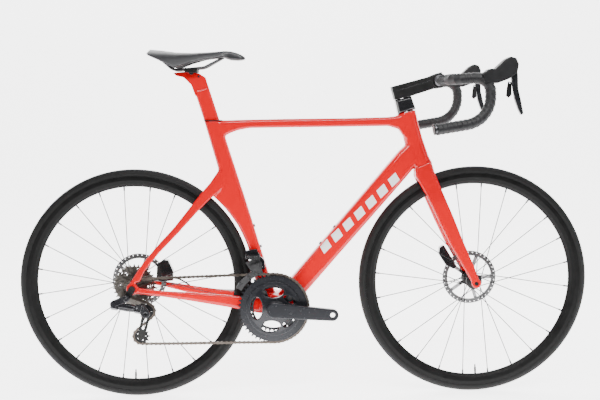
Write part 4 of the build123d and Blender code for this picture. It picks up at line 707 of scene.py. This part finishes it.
BARREL_RADIUS = 9.6
BARREL_LENGTH = 22.0
BARREL_BACK = 18.0
BARREL_UP = 9.0
BOLT_RADIUS = 3.6
BOLT_LENGTH = 24.6
BOLT_AHEAD = 19.2
BOLT_DOWN = 1.2
BOLT_EDGE = 0.4
clamp_low, clamp_high = (Vector(corner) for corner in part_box("saddle_clamp"))
barrel = Vector((clamp_high.x - BARREL_BACK * MM, 0, clamp_low.z + BARREL_UP * MM))
bpy.ops.mesh.primitive_cylinder_add(
    radius=BARREL_RADIUS * MM, depth=BARREL_LENGTH * MM, vertices=48, location=barrel,
    rotation=(math.pi / 2, 0, 0),
)
bpy.ops.object.transform_apply(location=True, rotation=True, scale=True)
softened(
    "seatpost_moulding", ["seatpost"], 0.0012, 8, red_paint, "saddle_post", slot="red_paint",
    extra=[bpy.context.object],
)
bpy.ops.mesh.primitive_cylinder_add(
    radius=BOLT_RADIUS * MM, depth=BOLT_LENGTH * MM, vertices=32,
    location=barrel + Vector((BOLT_AHEAD * MM, 0, -BOLT_DOWN * MM)), rotation=(math.pi / 2, 0, 0),
)
post_bolt = bpy.context.object
bpy.ops.object.transform_apply(location=True, rotation=True, scale=True)
pick_all()
bpy.ops.mesh.bevel(offset=BOLT_EDGE * MM, segments=2)
bpy.ops.object.mode_set(mode="OBJECT")
post_bolt.name = "seatpost_bolt"
dress(post_bolt, dark_steel, "saddle_post")
give_finish(red_paint, "seatpost")

# The saddle is foam under a smooth skin, stretched over a plastic base on two steel rails:
# wide and raised at the back, narrow and dipped to a long nose.
saddle_skin = uneven_finish(
    "saddle_skin", (0.012, 0.012, 0.014), (0.02, 0.02, 0.023), 0.3, 0.42, 2400, 0.00008, gloss=0.55
)
plastic = uneven_finish(
    "matt_plastic", (0.008, 0.008, 0.009), (0.014, 0.014, 0.015), 0.42, 0.58, 1600, 0.00006, gloss=0.25
)
saddle_high = Vector(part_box("saddle_cover")[1])
NOSE_LOOPS = (
    # behind the nose's tip, top and lower edge below the saddle's top, width, corner
    (80, 7.5, 25, 30, 7),
    (60, 5.6, 26, 38, 8),
    (42, 6.5, 32, 37, 8.5),
    (22, 11.5, 33.5, 33, 8.5),
    (8, 18.5, 32.5, 27, 6.5),
    (1, 24, 30, 17, 2.8),
)
nose_loops = []
for behind, top, low, wide, corner in NOSE_LOOPS:
    centre = Vector((saddle_high.x - behind * MM, 0, saddle_high.z - (top + low) / 2 * MM))
    nose_loops.append(
        ring(centre, Vector((0, 0, 1)), Vector((1, 0, 0)), wide * MM, (low - top) * MM, corner * MM)
    )
saddle = softened(
    "saddle_pad", ["saddle_cover"], 0.0022, 6, saddle_skin, "saddle_post", slot="saddle_skin",
    extra=[skin("nose", nose_loops)],
)
give_finish(plastic, "saddle_cover", "saddle_shell")
give_finish(dark_steel, "saddle_rails")

# The rails are held in two cradles at the ends of a cross barrel, which a single bolt
# through the post's head pulls together.
RAIL_DOWN = 9.0
RAIL_OUT = 22.0
CRADLE_DOWN = 1.5
CRADLE_SIZE = Vector((36.0, 12.0, 13.0)) * MM
CROSS_RADIUS = 6.5
CROSS_LENGTH = 50.0
CROSS_DOWN = 8.0
clamp_middle = (clamp_low + clamp_high) / 2
rail_line = clamp_high.z - RAIL_DOWN * MM
clamp_parts = []
for out in (-RAIL_OUT, RAIL_OUT):
    bpy.ops.mesh.primitive_cube_add(size=1, location=(clamp_middle.x, out * MM, rail_line - CRADLE_DOWN * MM))
    bpy.ops.transform.resize(value=CRADLE_SIZE)
    bpy.ops.object.transform_apply(location=True, rotation=True, scale=True)
    clamp_parts.append(bpy.context.object)
bpy.ops.mesh.primitive_cylinder_add(
    radius=CROSS_RADIUS * MM, depth=CROSS_LENGTH * MM, vertices=48,
    location=(clamp_middle.x, 0, rail_line - CROSS_DOWN * MM), rotation=(math.pi / 2, 0, 0),
)
bpy.ops.object.transform_apply(location=True, rotation=True, scale=True)
clamp_parts.append(bpy.context.object)
clamp_block = join_all("saddle_cradle", clamp_parts)
melt(clamp_block, 0.0008, 3)
dress(clamp_block, satin_black, "saddle_post", "saddle_clamp")
give_finish(plastic, "saddle_clamp")

# The stem is a black blade with the cables inside it. It sits on a glossy block that
# carries on the line of the head tube, and its face plate holds the bare bar.
gloss_black = uneven_finish(
    "gloss_black", (0.008, 0.008, 0.009), (0.014, 0.014, 0.016), 0.16, 0.25, 500, 0.00003, coat=0.8
)
brushed_bar = uneven_finish(
    "brushed_bar", (0.10, 0.10, 0.11), (0.2, 0.2, 0.21), 0.3, 0.45, 500, 0.00004,
    metal=0.9, stretch=(1, 0.05, 1),
)
softened("stem_blade", ["stem"], 0.0011, 7, satin_black, "steering")
softened("stem_block", ["stem_spacer"], 0.0011, 4, gloss_black, "steering")
softened("stem_face", ["stem_faceplate"], 0.0008, 4, satin_black, "steering")
give_finish(satin_black, "stem", "stem_faceplate")
give_finish(gloss_black, "stem_spacer")
give_finish(dark_steel, "stem_bolts")
give_finish(brushed_bar, "handlebar")

# A raised line runs along each flank of the stem, from its foot to the clamp.
RIB_FOOT = (762, 894)
RIB_END = (858, 923)
RIB_OUT = 18.6
RIB_WIDE = 2.4
RIB_CORNER = 0.5
RIB_DEPTHS = ((0, 1.2), (0.1, 2.2), (0.9, 2.2), (1, 1.2))  # share of the way, depth
for hand, sign in (("right", -1), ("left", 1)):
    rib_start, rib_end = side(*RIB_FOOT, sign * RIB_OUT), side(*RIB_END, sign * RIB_OUT)
    rib_run = rib_end - rib_start
    rib = skin(
        f"stem_rib_{hand}",
        [
            ring(
                rib_start + rib_run * share, Vector((0, 0, 1)), rib_run,
                RIB_WIDE * MM, deep * MM, RIB_CORNER * MM,
            )
            for share, deep in RIB_DEPTHS
        ],
    )
    dress(rib, gloss_black, "steering")

# Each brake hood is soft ribbed rubber over the lever's body, drawn up to a knob at the
# front; the lever is a forged blade and the shift paddle lies behind it.
hood_rubber = uneven_finish(
    "hood_rubber", (0.010, 0.010, 0.011), (0.018, 0.018, 0.019), 0.42, 0.58, 1500, 0.0001,
    relief=0.8, gloss=0.3,
)
lever_finish = uneven_finish(
    "lever_grey", (0.02, 0.021, 0.024), (0.035, 0.036, 0.04), 0.22, 0.34, 900, 0.00003, metal=0.5, gloss=0.5
)
softened("hood_covers", ["hoods"], 0.0012, 12, hood_rubber, "steering", smooth=0.6)
for hand in ("left", "right"):
    softened(f"lever_blade_{hand}", [f"lever_{hand}"], 0.0008, 8, lever_finish, f"brake_lever_{hand}")
    softened(f"shift_paddle_blade_{hand}", [f"paddle_{hand}"], 0.0005, 4, plastic, f"shift_paddle_{hand}")
    give_finish(satin_black, f"lever_{hand}")
    give_finish(plastic, f"paddle_{hand}")
give_finish(rubber, "hoods")

# The derailleurs and the disc brakes' calipers are cast and painted in gloss dark grey. The
# rear one's two plastic pulleys run in a black cage; the front one's cage is bare grey.
grey_alloy = uneven_finish(
    "grey_alloy", (0.012, 0.012, 0.015), (0.022, 0.022, 0.026), 0.14, 0.26, 900, 0.00003,
    metal=0.3, gloss=0.6,
)
cage_grey = uneven_finish(
    "cage_grey", (0.09, 0.09, 0.093), (0.12, 0.12, 0.123), 0.24, 0.36, 900, 0.00003, metal=0.8
)
softened("rear_derailleur_mount", ["rd_bracket"], 0.0007, 5, grey_alloy, "frame")
arm_start = joint_place("rear_derailleur_swing")
arm_end = joint_place("rear_derailleur_parallel")
arm_run = arm_end - arm_start
# share of the way along the arm, width, depth, corner
ARM_LOOPS = ((0.06, 12, 16, 5), (0.2, 15, 21, 6), (0.5, 15, 23, 6.5), (0.8, 15, 21, 6), (0.94, 12, 16, 5))
arm_loops = [
    ring(arm_start + arm_run * share, Vector((0, 0, 1)), arm_run, wide * MM, deep * MM, corner * MM)
    for share, wide, deep, corner in ARM_LOOPS
]
softened(
    "rear_derailleur_arm", ["rd_link"], 0.0007, 5, grey_alloy, "rear_derailleur_link",
    extra=[skin("arm_case", arm_loops)],
)
softened("rear_derailleur_head", ["rd_knuckle"], 0.0007, 5, grey_alloy, "rear_derailleur_knuckle")
softened("front_derailleur_block", ["fd_body"], 0.0007, 4, grey_alloy, "frame")
softened("rear_caliper_casting", ["rear_caliper"], 0.0009, 5, gloss_black, "frame")
softened("front_caliper_casting", ["front_caliper"], 0.0009, 5, gloss_black, "steering")
give_finish(grey_alloy, "fd_body", "rd_bracket", "rd_link", "rd_knuckle")
give_finish(gloss_black, "front_caliper", "rear_caliper")
give_finish(satin_black, "rd_cage")
give_finish(cage_grey, "fd_cage")
give_finish(plastic, "guide_pulley", "tension_pulley")

# Bar tape: one strip a side, wound from the end plug towards the stem in overlapping
# turns. Each turn stands proud at its lower edge.
BAR_HALF = 207.0
BAR_REACH = 101.0
BAR_DROP = 138.0
TAPE_FROM = 58.0
TAPE_TURN = 13.0
TAPE_THICK = 15.6
TAPE_THIN = 14.1
TAPE_SLANT = 0.22
TAPE_ROLL = 0.6
TAPE_LAP = 0.0046
TAPE_EDGE = 0.0008
BEND_STEPS = 24
TAPE_OVER = 15.5
BAR_BELOW = 20.0
BAR_RISE = 4.5
HOOK_FOOT = 23.0
DROP_BACK = 148.0
tape_high = Vector(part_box("bar_tape")[1])
hook_x = tape_high.x - TAPE_OVER * MM
clamp_x = hook_x - BAR_REACH * MM
clamp_z = tape_high.z - BAR_BELOW * MM
drop_z = clamp_z + (BAR_RISE - BAR_DROP) * MM
bar_corners = [
    Vector((clamp_x, 0, clamp_z)),
    Vector((clamp_x, (-BAR_HALF + 10) * MM, clamp_z)),
    Vector((hook_x, (-BAR_HALF - 1) * MM, clamp_z + BAR_RISE * MM)),
    Vector((hook_x, (-BAR_HALF - 3) * MM, drop_z + HOOK_FOOT * MM)),
    Vector((hook_x - DROP_BACK * MM, (-BAR_HALF - 6) * MM, drop_z)),
]
bar_bends = [0.0, 35 * MM, 38 * MM, 72 * MM, 0.0]


def bent_line(corners, bends, pitch):
    """Points and directions at even spacing along straight runs joined by round bends."""
    points = [corners[0]]
    for number in range(1, len(corners) - 1):
        corner = corners[number]
        back_way = (corners[number - 1] - corner).normalized()
        on_way = (corners[number + 1] - corner).normalized()
        half = back_way.angle(on_way) / 2
        run = bends[number] / math.tan(half)
        centre = corner + (back_way + on_way).normalized() * (bends[number] / math.sin(half))
        first, last = corner + back_way * run - centre, corner + on_way * run - centre
        turn = first.angle(last)
        for step in range(BEND_STEPS + 1):
            share = step / BEND_STEPS
            way = first * math.sin((1 - share) * turn) + last * math.sin(share * turn)
            points.append(centre + way / math.sin(turn))
    points.append(corners[-1])
    spots, walked, goal = [], 0.0, 0.0
    for a, b in zip(points, points[1:]):
        length = (b - a).length
        while goal <= walked + length and length > 0:
            spots.append((a.lerp(b, (goal - walked) / length), (b - a).normalized()))
            goal += pitch
        walked += length
    return spots


def tape_loop(spot, way, radius, roll):
    """One edge of the tape: a circle across the bar, slanted the way the tape is wound."""
    slant = way.orthogonal().normalized()
    slant.rotate(Matrix.Rotation(roll, 3, way))
    leaned = (way + slant * TAPE_SLANT).normalized()
    bpy.ops.mesh.primitive_circle_add(vertices=20, radius=radius)
    loop = bpy.context.object
    up = Vector((0, 1, 0)) if abs(leaned.y) < 0.8 else Vector((0, 0, 1))
    across = up.cross(leaned).normalized()
    second = leaned.cross(across)
    loop.matrix_world = Matrix.Translation(spot) @ Matrix((across, second, leaned)).transposed().to_4x4()
    bpy.ops.object.transform_apply(location=True, rotation=True, scale=True)
    return loop


tape_spots = [
    (spot, way) for spot, way in bent_line(bar_corners, bar_bends, TAPE_TURN * MM / 2)
    if spot.y < -(TAPE_FROM + 2) * MM
]
tape_loops = []
tape_spots.append((bar_corners[-1] + tape_spots[-1][1] * 0.002, tape_spots[-1][1]))
for number, (spot, way) in enumerate(tape_spots):
    proud = number % 2 == 0
    shift = way * (TAPE_EDGE if proud else -TAPE_LAP)
    tape_loops.append(tape_loop(spot + shift, way, (TAPE_THICK if proud else TAPE_THIN) * MM, TAPE_ROLL))
tape_finish = uneven_finish(
    "wound_tape", (0.010, 0.010, 0.011), (0.02, 0.02, 0.022), 0.42, 0.56, 1900, 0.0003,
    relief=0.8, gloss=0.4,
)
tape_right = skin("wound_tape_right", tape_loops)
bpy.ops.object.select_all(action="DESELECT")
tape_right.select_set(True)
bpy.ops.object.shade_smooth_by_angle(angle=math.radians(35))
dress(mirrored(tape_right, "wound_tape_left"), tape_finish, "steering", "bar_tape")
dress(tape_right, tape_finish, "steering", "bar_tape", slot="bar_tape")
give_finish(rubber, "bar_tape")
give_finish(plastic, "bar_end_plugs")

# The crank is forged hollow with four wide arms that run out to the big chainring. The
# ring has a broad machined face between the arms' feet and its teeth.
crank_finish = uneven_finish(
    "crank_grey", (0.017, 0.018, 0.022), (0.019, 0.020, 0.024), 0.25, 0.28, 1500, 0.00001,
    metal=0.3, relief=0.2,
)
give_finish(crank_finish, "crank_arm_right", "crank_arm_left", "outer_chainring", "inner_chainring")
give_finish(dark_steel, "chainring_bolts")
FACE_OUTER = 97.0
FACE_INNER = 76.0
FACE_OUT = 51.0
FACE_THICK = 1.6
SPIDER_RADIUS = 80.0
SPIDER_OUT = 49.0
SPIDER_THICK = 6.0
SPIDER_RISE = 9.0
SPIDER_RIM = 12.0
SPIDER_SLOPE = 46.0
WINDOWS = (
    # ahead and up from the axle, half length, half height, turn in degrees
    (-1, 50, 31, 17, 0),
    (-50, 3, 17, 33, 0),
    (-9, -51, 28, 17, 4),
    (42, -40, 19, 10, 38),
    (46, 27, 20, 9, -32),
)


def disc(name, radius, thick, out, sides=128):
    """A round plate about the crank's axis."""
    bpy.ops.object.select_all(action="DESELECT")
    bpy.ops.mesh.primitive_cylinder_add(
        radius=radius * MM, depth=thick * MM, vertices=sides,
        location=bottom_bracket - Vector((0, (out + thick / 2) * MM, 0)), rotation=(math.pi / 2, 0, 0),
    )
    bpy.ops.object.transform_apply(location=True, rotation=True, scale=True)
    bpy.context.object.name = name
    return bpy.context.object


def pick_flat(piece, *ways):
    """Select the large flat faces of a plate that face the given ways across the bicycle."""
    bpy.ops.object.mode_set(mode="EDIT")
    bpy.ops.mesh.select_mode(type="FACE")
    bpy.ops.mesh.select_all(action="DESELECT")
    bpy.ops.object.mode_set(mode="OBJECT")
    for face in piece.data.polygons:
        face.select = len(face.vertices) > 8 and any(face.normal.y * way > 0 for way in ways)


spider = disc("crank_spider", SPIDER_RADIUS, SPIDER_THICK, SPIDER_OUT)
pick_flat(spider, -1)
bpy.ops.object.mode_set(mode="EDIT")
bpy.ops.mesh.inset(thickness=SPIDER_RIM * MM, depth=0)
bpy.ops.mesh.inset(thickness=SPIDER_SLOPE * MM, depth=SPIDER_RISE * MM)
bpy.ops.object.mode_set(mode="OBJECT")
for ahead, up, half_long, half_high, turned in WINDOWS:
    bpy.ops.object.select_all(action="DESELECT")
    bpy.ops.mesh.primitive_cylinder_add(radius=1, depth=2, vertices=64, rotation=(math.pi / 2, 0, 0))
    window = bpy.context.object
    bpy.ops.object.transform_apply(location=True, rotation=True, scale=True)
    window.scale = (half_long * MM, 0.1, half_high * MM)
    bpy.ops.object.transform_apply(location=False, rotation=False, scale=True)
    window.rotation_euler = (0, -math.radians(turned), 0)
    window.location = bottom_bracket + Vector((ahead * MM, 0, up * MM))
    bpy.ops.object.select_all(action="DESELECT")
    bpy.context.view_layer.objects.active = spider
    spider.select_set(True)
    opening = spider.modifiers.new("opening", "BOOLEAN")
    opening.operation = "DIFFERENCE"
    opening.object = window
    bpy.ops.object.modifier_apply(modifier=opening.name)
    bpy.data.objects.remove(window)
softened("crank_right_forging", ["crank_arm_right"], 0.0011, 8, crank_finish, "crankset", extra=[spider])
softened("crank_left_forging", ["crank_arm_left"], 0.0011, 6, crank_finish, "crankset")

ring_face = disc("chainring_face", FACE_OUTER, FACE_THICK, FACE_OUT)
pick_flat(ring_face, -1, 1)
bpy.ops.object.mode_set(mode="EDIT")
bpy.ops.mesh.inset(thickness=(FACE_OUTER - FACE_INNER) * MM, depth=0)
bpy.ops.mesh.bridge_edge_loops()
bpy.ops.mesh.select_all(action="SELECT")
bpy.ops.mesh.normals_make_consistent(inside=False)
bpy.ops.object.mode_set(mode="OBJECT")
dress(ring_face, crank_finish, "crankset", slot="crank_grey")

# The sprockets are pressed steel, and the chain is 110 bare steel links that pins hold.
sprocket_steel = uneven_finish(
    "sprocket_steel", (0.13, 0.115, 0.10), (0.26, 0.24, 0.22), 0.25, 0.45, 700, 0.00004, metal=0.9
)
chain_steel = uneven_finish(
    "chain_steel", (0.05, 0.04, 0.034), (0.17, 0.145, 0.125), 0.3, 0.5, 900, 0.00006, metal=0.8
)
give_finish(sprocket_steel, "cassette")
give_finish(chain_steel, "chain")

# The wheels are moulded carbon rims laced to black alloy hubs with flat black spokes; the
# flats stand a little wider than the spokes' cores.
SPOKE_BLADE = 0.0003
rim_carbon = uneven_finish(
    "rim_carbon", (0.005, 0.005, 0.005), (0.009, 0.009, 0.009), 0.38, 0.5, 700, 0.00004, gloss=0.12
)
spoke_finish = uneven_finish(
    "spoke_steel", (0.008, 0.008, 0.009), (0.016, 0.016, 0.017), 0.3, 0.42, 600, 0.00003, gloss=0.3
)
give_finish(rim_carbon, "front_rim", "rear_rim")
give_finish(satin_black, "front_hub", "rear_hub")
give_finish(plastic, "front_valve", "rear_valve")
give_finish(spoke_finish, "front_spokes", "rear_spokes")
for name in ("front_spokes", "rear_spokes"):
    spokes = frame["nodes"][name]
    weld = spokes.modifiers.new("weld", "WELD")
    weld.merge_threshold = 0.00001
    blade = spokes.modifiers.new("blade", "DISPLACE")
    blade.strength = SPOKE_BLADE
    blade.mid_level = 0.0

# The tyres are black rubber on a cotton casing: a smooth tread, and sidewalls ribbed by
# the mould in fine rings about the hub.
RING_COUNT = 500.0  # rings per metre of radius


def reach_from(tree, hub):
    """How far a point of the piece lies from a wheel's axle, in metres."""
    ahead = along(tree, hub, Vector((1, 0, 0)))
    upward = along(tree, hub, Vector((0, 0, 1)))
    ahead_square = maths(tree, "MULTIPLY", ahead, ahead)
    upward_square = maths(tree, "MULTIPLY", upward, upward)
    return maths(tree, "SQRT", maths(tree, "ADD", ahead_square, upward_square))


def tyre_finish(name, hub):
    """Rubber with fine rings about the hub."""
    material = rubber.copy()
    material.name = name
    tree = material.node_tree
    shader = tree.nodes["Principled BSDF"]
    reach = reach_from(tree, hub)
    rings = maths(tree, "SINE", maths(tree, "MULTIPLY", reach, RING_COUNT * 2 * math.pi))
    relief = tree.nodes.new("ShaderNodeBump")
    relief.inputs["Strength"].default_value = 0.5
    relief.inputs["Distance"].default_value = 0.0002
    tree.links.new(rings, relief.inputs["Height"])
    fine_relief = shader.inputs["Normal"].links[0].from_socket
    tree.links.new(fine_relief, relief.inputs["Normal"])
    tree.links.new(relief.outputs["Normal"], shader.inputs["Normal"])
    return material


give_finish(tyre_finish("rear_tyre_rubber", rear_hub), "rear_tyre")
give_finish(tyre_finish("front_tyre_rubber", front_hub), "front_tyre")

# The brake discs have a black middle, bare metal cooling fins and a dark slotted braking
# ring, which shines where the pads run.
RING_FROM = 0.062
FINS_FROM = 0.036
MIDDLE_BLACK = (0.01, 0.01, 0.01, 1)
FIN_METAL = (0.5, 0.5, 0.51, 1)
RING_GREY = (0.16, 0.16, 0.163, 1)


def rotor_finish(name, hub):
    """Dark ring, bright fins and black middle, by the distance from the hub."""
    material, tree, shader = new_material(name)
    reach = reach_from(tree, hub)
    grooves = tree.nodes.new("ShaderNodeTexNoise")
    grooves.inputs["Scale"].default_value = 900.0
    grooves.noise_dimensions = "1D"
    tree.links.new(reach, grooves.inputs["W"])
    fins = maths(tree, "GREATER_THAN", reach, FINS_FROM)
    outer = maths(tree, "GREATER_THAN", reach, RING_FROM)
    first = tree.nodes.new("ShaderNodeMix")
    first.data_type = "RGBA"
    first.inputs["A"].default_value = MIDDLE_BLACK
    first.inputs["B"].default_value = FIN_METAL
    second = tree.nodes.new("ShaderNodeMix")
    second.data_type = "RGBA"
    second.inputs["B"].default_value = RING_GREY
    tree.links.new(fins, first.inputs["Factor"])
    tree.links.new(outer, second.inputs["Factor"])
    tree.links.new(first.outputs["Result"], second.inputs["A"])
    tree.links.new(second.outputs["Result"], shader.inputs["Base Color"])
    relief = tree.nodes.new("ShaderNodeBump")
    relief.inputs["Strength"].default_value = 0.4
    relief.inputs["Distance"].default_value = 0.0001
    tree.links.new(grooves.outputs["Fac"], relief.inputs["Height"])
    tree.links.new(relief.outputs["Normal"], shader.inputs["Normal"])
    shader.inputs["Metallic"].default_value = 0.7
    shader.inputs["Roughness"].default_value = 0.34
    return material


give_finish(rotor_finish("rear_disc", rear_hub), "rear_rotor")
give_finish(rotor_finish("front_disc", front_hub), "front_rotor")
